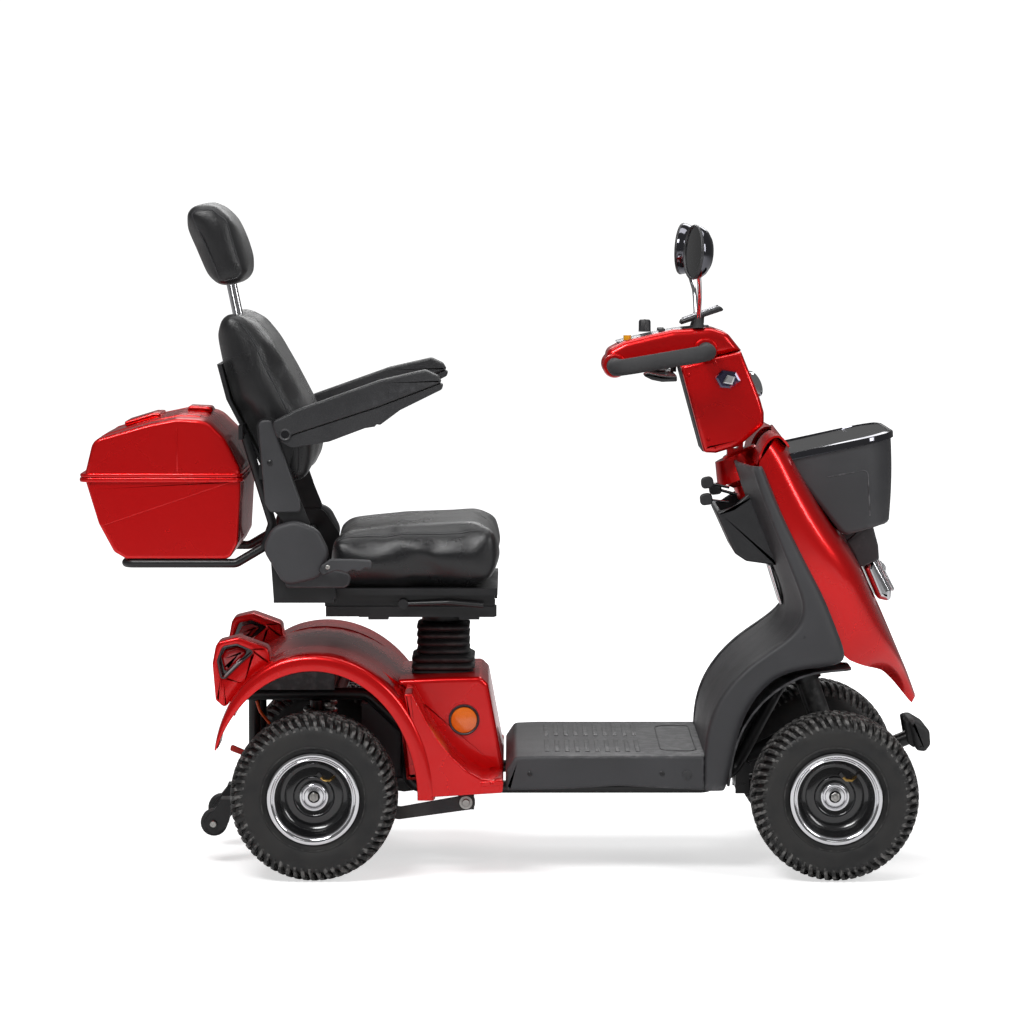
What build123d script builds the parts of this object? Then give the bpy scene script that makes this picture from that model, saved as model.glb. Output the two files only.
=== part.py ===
"""Four-wheel mobility scooter, in millimetres.

+X points forward, +Y to the rider's left and +Z up. The origin lies on the ground, at the
centre of the scooter's outline seen from above.
"""
import os
from math import cos, radians, sin, tan

from build123d import *

# ---- driving dimensions ----
LENGTH = 1697.0
TYRE_RADIUS = 165.0
TYRE_WIDTH = 130.0
RIM_FLANGE_RADIUS = 89.0
RIM_SEAT_RADIUS = 76.2
SPINDLE_RADIUS = 10.0
HALF_TRACK = 270.0
WHEELBASE = 1022.0
REAR_AXLE_X = -384.0
KINGPIN_Y = 185.0
KINGPIN_RADIUS = 8.0
SWING_PIVOT_X, SWING_PIVOT_Z = -87.0, 139.0
LINK_PIVOT_X, LINK_PIVOT_Z = 470.0, 150.0
STEER_LEAN = 20.3
STEER_X, STEER_Z = 588.0, 560.0
STEM_RADIUS = 16.0
TILT_X, TILT_Z = 455.0, 838.0
POST_X = -134.0
POST_RADIUS = 30.0
SEAT_PLATE_Z = 504.0
CUSHION_HALF = 230.0
RECLINE_X, RECLINE_Z = -411.0, 650.0
ARM_X, ARM_Z = -436.0, 878.0
DECK_HALF = 260.0
FENDER_Y = 335.0
BODY_WALL = 4.0
HANDLE_RADIUS = 16.5
ANTI_TIP_RADIUS = 27.0

RUNNING_GAP = 0.05
PIECE_GAP = 0.3

# ---- values worked out from them ----
FRONT_AXLE_X = REAR_AXLE_X + WHEELBASE
AXLE_Z = TYRE_RADIUS
LEAN = radians(STEER_LEAN)
ARCH_REAR = (204.0, 252.0)
BAND = 33.0


# ---- shared shapes ----
def rounded_face(points):
    """Closed flat outline from (u, v) or (u, v, corner radius) points, facing up."""
    doubled_area = sum(a[0] * b[1] - b[0] * a[1] for a, b in zip(points, points[1:] + points[:1]))
    if doubled_area < 0:
        points = points[::-1]
    corners = [(Vector(p[0], p[1]), p[2] if len(p) > 2 else 0.0) for p in points]
    ends = []
    for index, (here, radius) in enumerate(corners):
        to_last = (corners[index - 1][0] - here).normalized()
        to_next = (corners[(index + 1) % len(corners)][0] - here).normalized()
        if radius == 0:
            ends.append((here, None, here))
            continue
        half = radians(to_last.get_angle(to_next)) / 2
        reach = radius / tan(half)
        middle = (to_last + to_next).normalized()
        apex = here + middle * (radius / sin(half) - radius)
        ends.append((here + to_last * reach, apex, here + to_next * reach))
    edges = []
    for index, (start, apex, end) in enumerate(ends):
        if apex is not None:
            edges.append(Edge.make_three_point_arc(start, apex, end))
        following = ends[(index + 1) % len(ends)][0]
        if (following - end).length > 1e-6:
            edges.append(Edge.make_line(end, following))
    return Face(Wire(edges))


def side_solid(face, y0, y1):
    """Side-view outline (x, z) stretched from y0 to y1."""
    return extrude(Plane.XZ.offset(-y1) * face, amount=y1 - y0)


def side_piece(points, y0, y1):
    return side_solid(rounded_face(points), y0, y1)


def side_shell(points, half, wall=BODY_WALL):
    """Hollow moulding of constant wall, closed at both sides."""
    face = rounded_face(points)
    inner = offset(face, amount=-wall, kind=Kind.INTERSECTION)
    return side_solid(face, -half, half) - side_solid(inner, wall - half, half - wall)


def block(x, y, z):
    """Box between two x, two y and two z values."""
    size = [b - a for a, b in (x, y, z)]
    middle = [(a + b) / 2 for a, b in (x, y, z)]
    return Pos(*middle) * Box(*size)


def rod(start, end, radius, bore=0.0):
    start, end = Vector(*start), Vector(*end)
    low = (Align.CENTER, Align.CENTER, Align.MIN)
    place = Plane(origin=start, z_dir=end - start)
    solid = place * Cylinder(radius, (end - start).length, align=low)
    if bore:
        solid -= place * Cylinder(bore, (end - start).length, align=low)
    return solid


def bar_y(x, z, y0, y1, radius, bore=0.0):
    return rod((x, y0, z), (x, y1, z), radius, bore)


def tube(points, radius, bend, bore=0.0):
    path = FilletPolyline(*points, radius=bend)
    place = Plane(path @ 0, z_dir=path % 0)
    solid = sweep(place * Circle(radius), path=path)
    if bore:
        solid -= sweep(place * Circle(bore), path=path)
    return solid


def turned(points, x, y, z, side=1):
    """Ring turned about a cross-wise axis; points are (radius, distance outboard)."""
    place = Plane(origin=(x, y, z), x_dir=(1, 0, 0), z_dir=(0, 0, 1))
    ring = revolve(Plane.XY * rounded_face(points), axis=Axis.Y)
    if side < 0:
        ring = mirror(ring, about=Plane.XZ)
    return place * ring


def group(*shapes):
    return Compound([solid for shape in shapes for solid in shape.solids()])


def both_sides(shape):
    return group(shape, mirror(shape, about=Plane.XZ))


def on_stem(z, along=0.0):
    """Point on the leaning steering axis at height z, then moved along +X."""
    return (STEER_X - (z - STEER_Z) * tan(LEAN) + along, 0.0, z)


# ---- frame and running gear ----
RAIL_RADIUS = 12.5
RAIL_Y = 144.0
RAIL_Z = 163.0
BATTERY_Z = RAIL_Z + 17
REAR_BATTERY, FRONT_BATTERY = 148.0, 132.0
SWIVEL_PIN = 12.0
HOOP_Z = 350.0
ANTI_TIP_POST_X = -512.0
HEAD_LOW, HEAD_HIGH = 408.0, 496.0
STRUT_Y = 100.0
STRUT_TOP, STRUT_FOOT = (584.0, 414.0), (652.0, 222.0)


def main_frame():
    """Welded tubes, seat post, steering head, link pivots, bumper arm and anti-tip forks."""
    side = tube([(-566, RAIL_Y, HOOP_Z), (-285, RAIL_Y, HOOP_Z), (-205, RAIL_Y, 275),
                 (-205, RAIL_Y, RAIL_Z), (395, RAIL_Y, RAIL_Z), (452, 78, RAIL_Z + 26),
                 (530, 60, 330), (on_stem(HEAD_HIGH - 12)[0] - 12, 12, HEAD_HIGH - 16)],
                RAIL_RADIUS, 34, RAIL_RADIUS - 2.5)
    frame = side + mirror(side, about=Plane.XZ)
    for x, z in ((-566, HOOP_Z), (ANTI_TIP_POST_X, HOOP_Z), (-340, HOOP_Z), (-40, RAIL_Z), (380, RAIL_Z)):
        frame += bar_y(x, z, -RAIL_Y, RAIL_Y, RAIL_RADIUS - 0.5)
    frame += block((-298, -24), (-148, 148), (BATTERY_Z - 5, BATTERY_Z))
    frame += rod((POST_X, 0, BATTERY_Z - 2), (POST_X, 0, SEAT_PLATE_Z - 20), POST_RADIUS)
    frame -= rod((POST_X, 0, SEAT_PLATE_Z - 70), (POST_X, 0, SEAT_PLATE_Z), SWIVEL_PIN + RUNNING_GAP)
    frame += bar_y(POST_X, RAIL_Z, -RAIL_Y, RAIL_Y, 16)
    frame += rod(on_stem(HEAD_LOW), on_stem(HEAD_HIGH), 26)
    for sign in (-1, 1):
        frame += block((SWING_PIVOT_X - 16, SWING_PIVOT_X + 16),
                       sorted((sign * RAIL_Y, sign * 172)), (SWING_PIVOT_Z - 18, RAIL_Z + 8))
        frame += bar_y(SWING_PIVOT_X, SWING_PIVOT_Z, *sorted((sign * 164, sign * 198)), 8)
        frame += rod((ANTI_TIP_POST_X, sign * 100, HOOP_Z), (ANTI_TIP_POST_X, sign * 100, 128), 12)
        fork = side_piece([(-578, 132), (-554, 132), (-567, 78, 14), (-596, 60, 12),
                           (-616, 84, 10)], -4, 4)
        for y in (sign * 100 - 19, sign * 100 + 19):
            frame += Pos(0, y, 0) * fork
        frame += block((-580, ANTI_TIP_POST_X + 12), (sign * 100 - 23, sign * 100 + 23), (128, 134))
        frame += bar_y(-594, 85, sign * 100 - 26, sign * 100 + 26, 5)
        frame += block((LINK_PIVOT_X - 14, LINK_PIVOT_X + 14), sorted((sign * 52, sign * 58)),
                       (LINK_PIVOT_Z - 14, LINK_PIVOT_Z + 40))
        frame += rod((530, sign * 60, 330), (STRUT_TOP[0], sign * 60, STRUT_TOP[1]), 11)
    frame += bar_y(LINK_PIVOT_X, LINK_PIVOT_Z, -60, 60, 7)
    frame += bar_y(LINK_PIVOT_X + 4, LINK_PIVOT_Z + 40, -76, 76, 12)
    frame += bar_y(*STRUT_TOP, -STRUT_Y - 24, STRUT_Y + 24, 11)
    frame += rod((STRUT_TOP[0], 0, STRUT_TOP[1]), on_stem(HEAD_LOW + 12), 13)
    frame -= rod(on_stem(HEAD_LOW - 60), on_stem(HEAD_HIGH + 60), STEM_RADIUS + RUNNING_GAP)
    keel = tube([(LINK_PIVOT_X + 4, 0, LINK_PIVOT_Z + 50), (560, 0, 246), (740, 0, 214),
                 (812.5, 0, 244.3)], 15, 40, 12)
    return frame + keel


def batteries():
    """Two sealed batteries, ahead of and behind the seat post."""
    rear = block((-296, POST_X - POST_RADIUS - 6), (-130, 130), (BATTERY_Z, BATTERY_Z + REAR_BATTERY))
    front = block((POST_X + POST_RADIUS + 6, -42), (-130, 130), (BATTERY_Z, BATTERY_Z + FRONT_BATTERY))
    caps = [Pos(x, y, BATTERY_Z + h + 4) * Cylinder(9, 8) for x, h in ((-270, REAR_BATTERY), (-64, FRONT_BATTERY))
            for y in (-90, 90)]
    return group(rear, front, *caps)


def battery_cover():
    """Red cover over the batteries, open below, with the seat post's hole."""
    half = 162.0
    outline = [(-186, 176), (-186, 366), (-226, 368), (-226, 380, 6), (-140, 383), (-54, 385, 10),
               (-44, 376, 6), (-12, 204), (-12, 176)]
    cover = side_shell(outline, half)
    cover -= block((-182, -16), (-half + 4, half - 4), (170, 176 + BODY_WALL + 1))
    cover -= rod((POST_X, 0, 300), (POST_X, 0, 420), POST_RADIUS + 6)
    cover -= block((-190, -180), (-half + 4, half - 4), (170, 364))
    lip = block((-186, -16), (-half, half), (176, 180)) - block((-190, -22), (-half + 6, half - 6),
                                                                (170, 190))
    return cover + lip


def bellows():
    """Folded rubber boot round the seat post."""
    rings = []
    fold = 16.2
    for step in range(6):
        low = 386 + step * fold
        half_x, half_y = (62, 84) if step < 2 else (52, 74)
        outline = Rectangle(2 * half_x, 2 * half_y)
        inner = Rectangle(2 * half_x - 10, 2 * half_y - 10)
        rings.append(Pos(POST_X, 0, low) * extrude(chamfer(outline.vertices(), 22), fold / 2))
        rings.append(Pos(POST_X, 0, low + fold / 2) * extrude(chamfer(inner.vertices(), 20), fold / 2))
    boot = rings[0]
    for ring in rings[1:]:
        boot += ring
    return boot - rod((POST_X, 0, 380), (POST_X, 0, 500), POST_RADIUS + 1)


def rear_tray():
    """Black deck and splash plate between the rear wheels."""
    outline = [(-578, 372), (-560, 404, 16), (-480, 428, 60), (-344, 424, 30), (-344, 418),
               (-480, 422, 54), (-556, 398, 10), (-572, 370)]
    half, low = 183.7, HOOP_Z + RAIL_RADIUS + 0.1
    tray = side_piece(outline, -half, half)
    tray += block((-584, -576), (-half, half), (low, 380))
    for y in (-half, half - 4):
        tray += block((-560, -348), (y, y + 4), (low, 412))
    return tray + block((-560, -348), (4 - half, half - 4), (low, low + 4))


def ellipse_half(semi_x, semi_z):
    return Pos(REAR_AXLE_X, AXLE_Z) * Ellipse(semi_x, semi_z)


def fender_right():
    """Wheel arch band with its lip, the sill to the deck and the tail-lamp loop."""
    outer = side_solid(ellipse_half(ARCH_REAR[0] + BAND, ARCH_REAR[1] + BAND), -FENDER_Y, -184)
    hollow = side_solid(ellipse_half(ARCH_REAR[0] + BAND - 5, ARCH_REAR[1] + BAND - 5), -FENDER_Y + 5, -180)
    mouth = side_solid(ellipse_half(*ARCH_REAR), -FENDER_Y - 5, -FENDER_Y + 10)
    arch = outer - hollow - mouth
    arch -= block((-700, REAR_AXLE_X), (-400, 0), (-200, 262))
    arch -= block((REAR_AXLE_X, 0), (-400, 0), (-200, 168))
    sill = side_piece([(-186, 168), (-10, 180, 4), (-10, 200, 6), (-51, 202), (-75, 228, 30),
                       (-140, 250), (-186, 250)], -300, -162.3)
    sill -= side_piece([(-260, 160), (-14, 160), (-14, 196, 4), (-53, 198), (-78, 224, 28),
                        (-142, 246), (-260, 246)], -296, -166.3)
    sill -= side_solid(ellipse_half(ARCH_REAR[0] + BAND - 5, ARCH_REAR[1] + BAND - 5), -FENDER_Y + 5, 0)
    arch += sill
    loop = side_piece([(-582, 430, 14), (-570, 462, 16), (-534, 470, 20), (-478, 452, 16),
                       (-478, 424), (-520, 394), (-566, 340), (-580, 352, 8)], -262, -190)
    loop -= side_piece([(-568, 436, 10), (-560, 452, 10), (-536, 458, 12), (-506, 448, 10),
                        (-532, 424, 8), (-566, 392, 8)], -270, -196)
    return (arch + loop).solid()


def fenders():
    return both_sides(fender_right())


def rear_lamp_lens():
    return side_piece([(-566, 438, 9), (-559, 450, 8), (-536, 456, 10), (-509, 447, 8),
                       (-534, 425, 6), (-563, 398, 6)], -258, -196.3)


def lenses():
    """Tail-lamp lenses and the round side reflectors."""
    reflector = bar_y(-91, 300, -172, -162, 30)
    return both_sides(group(rear_lamp_lens(), reflector))


def dampers():
    """Telescopic damper bodies: two upright at the rear and two leaning at the front."""
    rear = rod((REAR_AXLE_X, RAIL_Y, 290), (REAR_AXLE_X, RAIL_Y, HOOP_Z - RAIL_RADIUS), 14)
    top, foot = Vector(STRUT_TOP[0], STRUT_Y, STRUT_TOP[1]), Vector(STRUT_FOOT[0], STRUT_Y, STRUT_FOOT[1])
    down = (foot - top).normalized()
    front = rod(top + down * 11, top + down * 34, 24)
    front += rod(top + down * 34, top + down * 44, 27)
    front += rod(top + down * 44, top + down * 100, 11)
    return both_sides(group(rear, front))


def coil(x, y, low, high, radius, turns, wire=4.0):
    path = Helix((high - low) / turns, high - low, radius)
    spring = sweep(Plane(path @ 0, z_dir=path % 0) * Circle(wire), path=path)
    return Pos(x, y, low) * spring


REAR_SPRING_LOW, REAR_SPRING_HIGH = 214.0, 328.0
FREEWHEEL = (REAR_AXLE_X - 92, AXLE_Z + 34)


def rear_springs():
    return both_sides(coil(REAR_AXLE_X, RAIL_Y, REAR_SPRING_LOW, REAR_SPRING_HIGH, 24, 7))


def front_springs():
    """Front springs inside their ribbed rubber sleeves."""
    top, foot = Vector(STRUT_TOP[0], STRUT_Y, STRUT_TOP[1]), Vector(STRUT_FOOT[0], STRUT_Y, STRUT_FOOT[1])
    down = (foot - top).normalized()
    return both_sides(rod(top + down * 44.3, foot, 20, 16))


def transaxle():
    """Swing arms, axle housing, gear case, motor and brake, with fixed wheel spindles."""
    body = bar_y(REAR_AXLE_X, AXLE_Z, -178, 178, 30)
    body += bar_y(REAR_AXLE_X, AXLE_Z, -60, 30, 74)
    body += bar_y(REAR_AXLE_X + 14, AXLE_Z + 18, -15, 116, 52)
    for sign in (-1, 1):
        arm = side_piece([(SWING_PIVOT_X + 18, SWING_PIVOT_Z - 14, 12),
                          (SWING_PIVOT_X + 18, SWING_PIVOT_Z + 16, 12),
                          (-220, 128, 20), (REAR_AXLE_X + 10, AXLE_Z + 34, 20),
                          (REAR_AXLE_X - 34, AXLE_Z + 34, 20), (REAR_AXLE_X - 34, AXLE_Z - 30, 20),
                          (-220, 104, 20)], *sorted((sign * 178, sign * 190)))
        arm -= bar_y(SWING_PIVOT_X, SWING_PIVOT_Z, -200, 200, 8 + RUNNING_GAP)
        body += arm
        body += rod((REAR_AXLE_X, sign * RAIL_Y, AXLE_Z + 20),
                    (REAR_AXLE_X, sign * RAIL_Y, REAR_SPRING_LOW - 4), 30)
        spindle_end = HALF_TRACK + 2
        body += bar_y(REAR_AXLE_X, AXLE_Z, *sorted((sign * 170, sign * spindle_end)), SPINDLE_RADIUS)
    x, z = FREEWHEEL
    body += side_piece([(x - 9, z - 8, 6), (x - 9, z + 8, 6), (REAR_AXLE_X, AXLE_Z + 30),
                        (REAR_AXLE_X, AXLE_Z - 5)], -109.7, -103)
    return body + bar_y(x, z, -132, -104, 4)


def front_axle():
    """Leading link with the cross beam, kingpins and strut feet."""
    beam = bar_y(FRONT_AXLE_X, AXLE_Z, -150, 150, 19)
    for sign in (-1, 1):
        y = sign * KINGPIN_Y
        ear = rod((FRONT_AXLE_X, y, 0), (FRONT_AXLE_X, y, 9), 16)
        ear += block((FRONT_AXLE_X - 10, FRONT_AXLE_X + 10), sorted((sign * 148, y)), (0, 9))
        beam += Pos(0, 0, AXLE_Z + 31) * ear
        beam += Pos(0, 0, AXLE_Z - 40) * ear
        beam += block((FRONT_AXLE_X - 10, FRONT_AXLE_X + 10),
                      sorted((sign * 146, sign * 156)), (AXLE_Z - 40, AXLE_Z + 40))
        beam += tube([(LINK_PIVOT_X, sign * 30, LINK_PIVOT_Z),
                      (560, sign * 60, LINK_PIVOT_Z), (FRONT_AXLE_X, sign * 100, AXLE_Z)], 13, 50)
        beam += rod((FRONT_AXLE_X + 4, sign * STRUT_Y, AXLE_Z), (STRUT_FOOT[0], sign * STRUT_Y, STRUT_FOOT[1] - 1), 12)
        beam += rod((FRONT_AXLE_X, y, AXLE_Z - 44), (FRONT_AXLE_X, y, AXLE_Z + 44), KINGPIN_RADIUS)
    beam += bar_y(LINK_PIVOT_X, LINK_PIVOT_Z, -50, 50, 15)
    return beam - bar_y(LINK_PIVOT_X, LINK_PIVOT_Z, -60, 60, 7 + RUNNING_GAP)


STEER_ARM = 84.0
TIE_Z = 126.0


def knuckle(sign):
    """Steering knuckle: kingpin boss, wheel spindle and the arm for the tie rod."""
    y = sign * KINGPIN_Y
    half = 30.7
    body = rod((FRONT_AXLE_X, y, AXLE_Z - half), (FRONT_AXLE_X, y, AXLE_Z + half), 15)
    body += bar_y(FRONT_AXLE_X, AXLE_Z, *sorted((y, sign * (HALF_TRACK + 2))), SPINDLE_RADIUS)
    body += bar_y(FRONT_AXLE_X, AXLE_Z, *sorted((y, sign * 203)), 14)
    stud = (FRONT_AXLE_X - STEER_ARM, y)
    outline = make_hull([Pos(FRONT_AXLE_X, y) * Circle(14).edge(), Pos(*stud) * Circle(10).edge()])
    body += extrude(Pos(0, 0, TIE_Z + 9) * outline, amount=7.5)
    body += rod((*stud, TIE_Z - 12), (*stud, TIE_Z + 12), 5)
    return body - rod((FRONT_AXLE_X, y, 50), (FRONT_AXLE_X, y, 250), KINGPIN_RADIUS + RUNNING_GAP)


def tie_rod():
    x = FRONT_AXLE_X - STEER_ARM
    bar = bar_y(x, TIE_Z - 2, -KINGPIN_Y, KINGPIN_Y, 7)
    for y in (-KINGPIN_Y, KINGPIN_Y):
        bar += rod((x, y, TIE_Z - 9), (x, y, TIE_Z + 7), 12)
    for y in (-KINGPIN_Y, KINGPIN_Y):
        bar -= rod((x, y, 60), (x, y, 160), 5 + RUNNING_GAP)
    return bar


def tyre(x, side):
    half = TYRE_WIDTH / 2
    section = [(RIM_SEAT_RADIUS, -48), (RIM_FLANGE_RADIUS, -51), (108, -half, 18),
               (146, -half + 3, 20), (TYRE_RADIUS, -40, 16), (TYRE_RADIUS, 40, 16),
               (146, half - 3, 20), (108, half, 18), (RIM_FLANGE_RADIUS, 51),
               (RIM_SEAT_RADIUS, 48), (RIM_SEAT_RADIUS, 34), (92, 40), (112, 54, 10),
               (144, 50, 12), (152, 30, 10), (152, -30, 10), (144, -50, 12), (112, -54, 10),
               (92, -40), (RIM_SEAT_RADIUS, -34)]
    return turned(section, x, side * HALF_TRACK, AXLE_Z, side)


def rim(x, side):
    """Split rim with a dished centre, its hub, hub cap and axle nut."""
    hub_bore = SPINDLE_RADIUS + RUNNING_GAP
    section = [(hub_bore, -44), (30, -44), (30, -12), (68, -12, 6), (68, -56), (RIM_FLANGE_RADIUS, -56),
               (RIM_FLANGE_RADIUS, -51.5), (RIM_SEAT_RADIUS, -48), (RIM_SEAT_RADIUS, 48),
               (RIM_FLANGE_RADIUS, 51.5), (RIM_FLANGE_RADIUS, 56), (70, 58, 4), (60, 20, 16),
               (40, 4, 6), (34, 16, 4), (hub_bore, 16)]
    wheel = turned(section, x, side * HALF_TRACK, AXLE_Z, side)
    cap = turned([(0, 16), (30, 16), (30, 24, 3), (20, 30, 3), (0, 30)],
                 x, side * HALF_TRACK, AXLE_Z, side)
    return group(wheel, cap)


def anti_tip_wheels():
    section = [(5 + RUNNING_GAP, -13), (ANTI_TIP_RADIUS, -13, 4), (ANTI_TIP_RADIUS, 13, 4),
               (5 + RUNNING_GAP, 13)]
    wheels = [turned(section, -594, y, 85) for y in (-100, 100)]
    return group(*wheels)


def freewheel_lever():
    """Lever on the gear case that lets the scooter be pushed."""
    x, z = FREEWHEEL
    lever = bar_y(x, z, -130, -110, 9, 4 + RUNNING_GAP)
    lever += side_piece([(x - 6, z + 4), (x - 84, z + 34, 4), (x - 82, z + 46, 4), (x + 4, z + 8)], -126, -116)
    return lever


def freewheel_cable():
    """Sheathed cable from the hoop down to the gear case."""
    return tube([(-505, -RAIL_Y, HOOP_Z - RAIL_RADIUS - 1.6), (-498, -144, 314), (-480, -128, 288),
                 (-454, -98, 260), (-430, -54, 228)], 3, 14)


# ---- deck, leg shield and front body ----
def foot_deck():
    outline = [(-8, 176), (-8, 210, 8), (10, 239, 12), (59, 241), (384, 241), (384, 172),
               (217, 180, 200), (99, 174)]
    deck = side_shell(outline, DECK_HALF, 5)
    deck -= side_piece([(-20, 120), (-20, 176), (-3, 183), (99, 181), (217, 187, 200), (379, 180),
                        (400, 180), (400, 120)], -DECK_HALF + 5, DECK_HALF - 5)
    return deck


WELL_RADIUS = 238.0
COLLAR_LOW, COLLAR_HIGH = (470.0, 0.0, 774.0), (452.0, 0.0, 818.0)


def collar_way():
    """Space round the steering collar that the shield and shroud leave open."""
    axis = (Vector(*COLLAR_HIGH) - Vector(*COLLAR_LOW)).normalized()
    return rod(Vector(*COLLAR_LOW) - axis * 40, Vector(*COLLAR_HIGH) + axis * 80, 76)


def leg_shield():
    """Front moulding: the two wheel arches, the sloping floor and the shield behind the column."""
    half = DECK_HALF + 2
    outline = [(384.3, 172), (384.3, 243), (372, 262), (374, 313, 60), (403, 372), (442, 422, 120),
               (491, 461), (548, 498, 20), (569, 530, 8), (577, 528), (650, 424), (560, 424, 100),
               (470, 350, 100), (446, 240), (434, 186, 8), (419, 172)]
    shield = side_shell(outline, half, 5)
    well = bar_y(FRONT_AXLE_X, AXLE_Z, -400, -118, WELL_RADIUS)
    shield -= well + mirror(well, about=Plane.XZ)
    shield -= side_piece([(390, 120), (390, 300), (480, 430), (548, 480), (760, 480), (700, 120)],
                         -124, 124)
    shield += side_piece([(562, 522), (565, 560), (539, 619), (474, 806), (481, 808.5), (546, 621),
                          (572, 561), (574, 522)], -236, 236)
    edge = side_piece([(481, 808.5), (546, 621), (572, 561), (577, 528), (650, 424), (661.7, 428),
                       (609.7, 548), (569.7, 627), (529.7, 706), (484.7, 812)], 230, 236)
    shield += edge + mirror(edge, about=Plane.XZ)
    shield -= block((380, 400), (-DECK_HALF, DECK_HALF), (160, 180))
    shield -= rod(on_stem(380), on_stem(530), 32)
    shield -= rod(on_stem(480), on_stem(800), STEM_RADIUS + 1.5)
    return shield - collar_way()


def front_shroud():
    """Red front panel with its side cheeks, running down to a point between the wheels."""
    outline = [(485, 812), (530, 706), (570, 627), (610, 548), (662, 428), (713, 407, 20),
               (743, 399, 10), (764, 375), (803, 330, 3), (808, 365, 6), (782, 425), (732, 524),
               (691, 623), (572, 801), (552, 843, 10), (526, 872)]
    face = rounded_face(outline)
    taper = extrude(Plane.XY.offset(300) * Polygon((480, -246), (600, -236), (700, -190), (812, -22),
                                                    (812, 22), (700, 190), (600, 236), (480, 246),
                                                    align=None), amount=600)
    taper_inner = extrude(Plane.XY.offset(290) * Polygon((470, -241), (598, -231), (697, -186),
                                                          (806, -18), (806, 18), (697, 186),
                                                          (598, 231), (470, 241), align=None),
                          amount=620)
    skin = side_solid(face, -246, 246) & taper
    return skin - (Pos(-6, 0, -3) * side_solid(face, -246, 246) & taper_inner) - collar_way()


def storage_pocket():
    outline = [(410, 712), (450, 626, 16), (472, 614, 10), (536, 604), (495.5, 742), (478, 740),
               (436, 694)]
    pocket = side_piece(outline, -120, 120)
    pocket -= side_piece([(410, 760), (416, 700), (455, 628, 14), (474, 618, 8), (531, 609),
                          (491, 738), (497, 780)], -116, 116)
    return pocket


def headlamp():
    """Chrome lamp body under the bracket with its clear lens facing forward."""
    shell = side_piece([(738, 613), (772, 546, 4), (768, 524, 6), (742, 530, 8), (716, 596, 6),
                        (724, 613)],
                       -48, 48)
    lens = side_piece([(738.5, 613), (744, 613), (778, 547, 3), (772.6, 546.4)], -44, 44)
    return group(shell, lens)


def basket_bracket():
    """Two cheeks from the shroud to the basket's floor, tied by a plate over the lamp."""
    outline = [(674.5, 648), (702, 674.2), (730, 685), (740, 640), (742, 613.2), (712, 598),
               (701.7, 598), (691.4, 623)]
    cheeks = side_piece(outline, -70, -62) + side_piece(outline, 62, 70)
    return cheeks + block((716, 742), (-62, 62), (613.2, 617))


BASKET_HALF = 190.0
RIM_PLANE = Plane(origin=(560, 0, 833), x_dir=(188, 0, 41), z_dir=(-41, 0, 188))


def basket_form(grow):
    """Basket outline: sloping rear wall and large front corners, open upward."""
    outline = rounded_face([(562, 880), (575, 812), (690, 670, 20), (732, 686), (762, 702, 10),
                            (757, 781), (746, 920)])
    half = BASKET_HALF + grow
    plan = rounded_face([(500, -half), (762 + grow, -half, 76 + grow),
                         (762 + grow, half, 76 + grow), (500, half)])
    return side_solid(offset(outline, amount=grow), -half, half) & extrude(Pos(0, 0, 620) * plan, amount=400)


def basket():
    """Open tub on the front of the shroud."""
    tub = basket_form(0) - basket_form(-3.5)
    return tub - RIM_PLANE * Pos(0, 0, 100) * Box(900, 600, 200)


def basket_rim():
    """Chrome strip round the mouth of the basket."""
    band = basket_form(3) - basket_form(0)
    band = band & (RIM_PLANE * Pos(0, 0, -10) * Box(900, 600, 22))
    return band - block((500, 577), (-300, 300), (700, 900))


def bumper_pad():
    """Rubber bumper on the end of the keel tube."""
    front = LENGTH / 2
    outline = [(803.5, 285, 6), (817, 285, 6), (846, 268, 14), (front, 237, 12), (838, 223, 6),
               (820, 225, 8)]
    return side_piece(outline, -75, 75)


def body_screws():
    """Visible cover screws and frame bolts."""
    heads = []
    for x, z in ((-20, 190), (-120, 190)):
        heads.append(bar_y(x, z, -303, -300, 6))
    for x, z in ((40, 206), (300, 206)):
        heads.append(bar_y(x, z, -DECK_HALF - 2, -DECK_HALF, 5))
    heads.append(bar_y(420, 250, -DECK_HALF - 4.5, -DECK_HALF - 2, 8))
    heads.append(bar_y(SWING_PIVOT_X, SWING_PIVOT_Z, -206, -198, 13))
    heads.append(bar_y(-594, 85, -133, -126, 8))
    return both_sides(group(*heads))


# ---- steering tiller ----
def steering_stem():
    """Stem in the steering head, with collars, the red neck collar and the tilt yoke."""
    stem = rod(on_stem(HEAD_LOW - 26), on_stem(806), STEM_RADIUS)
    stem += rod(on_stem(HEAD_LOW - 12), on_stem(HEAD_LOW - 0.5), 27)
    stem += rod(on_stem(HEAD_HIGH + 0.5), on_stem(HEAD_HIGH + 12), 24)
    axis = Vector(*COLLAR_HIGH) - Vector(*COLLAR_LOW)
    place = Plane(origin=Vector(*COLLAR_LOW), z_dir=axis)
    stem += place * Cone(54, 40, axis.length, align=(Align.CENTER, Align.CENTER, Align.MIN))
    stem += block((TILT_X - 16, TILT_X + 16), (-16, 16), (806, TILT_Z + 15))
    return stem - bar_y(TILT_X, TILT_Z, -40, 40, 7 + RUNNING_GAP)


def tiller_column():
    """Hollow column cover with the tilt pin and its cheeks at the foot."""
    half = 92
    outline = [(386, 826, 6), (412, 826), (459, 840), (508, 884, 6), (508, 908), (462, 1030),
               (352, 1005), (340, 1001)]
    column = side_shell(outline, half)
    column -= block((380, 530), (-half + 4, half - 4), (815, 862))
    for sign in (-1, 1):
        column += block((TILT_X - 14, TILT_X + 14), sorted((sign * 22, sign * 30)),
                        (TILT_Z - 12, 900))
        column += block((TILT_X - 14, TILT_X + 14), sorted((sign * 22, sign * (half - 2))), (892, 900))
        column -= bar_y(392, 1032, *sorted((sign * 42, sign * 100)), 23.5)
    return column + bar_y(TILT_X, TILT_Z, -30, 30, 7)


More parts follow.
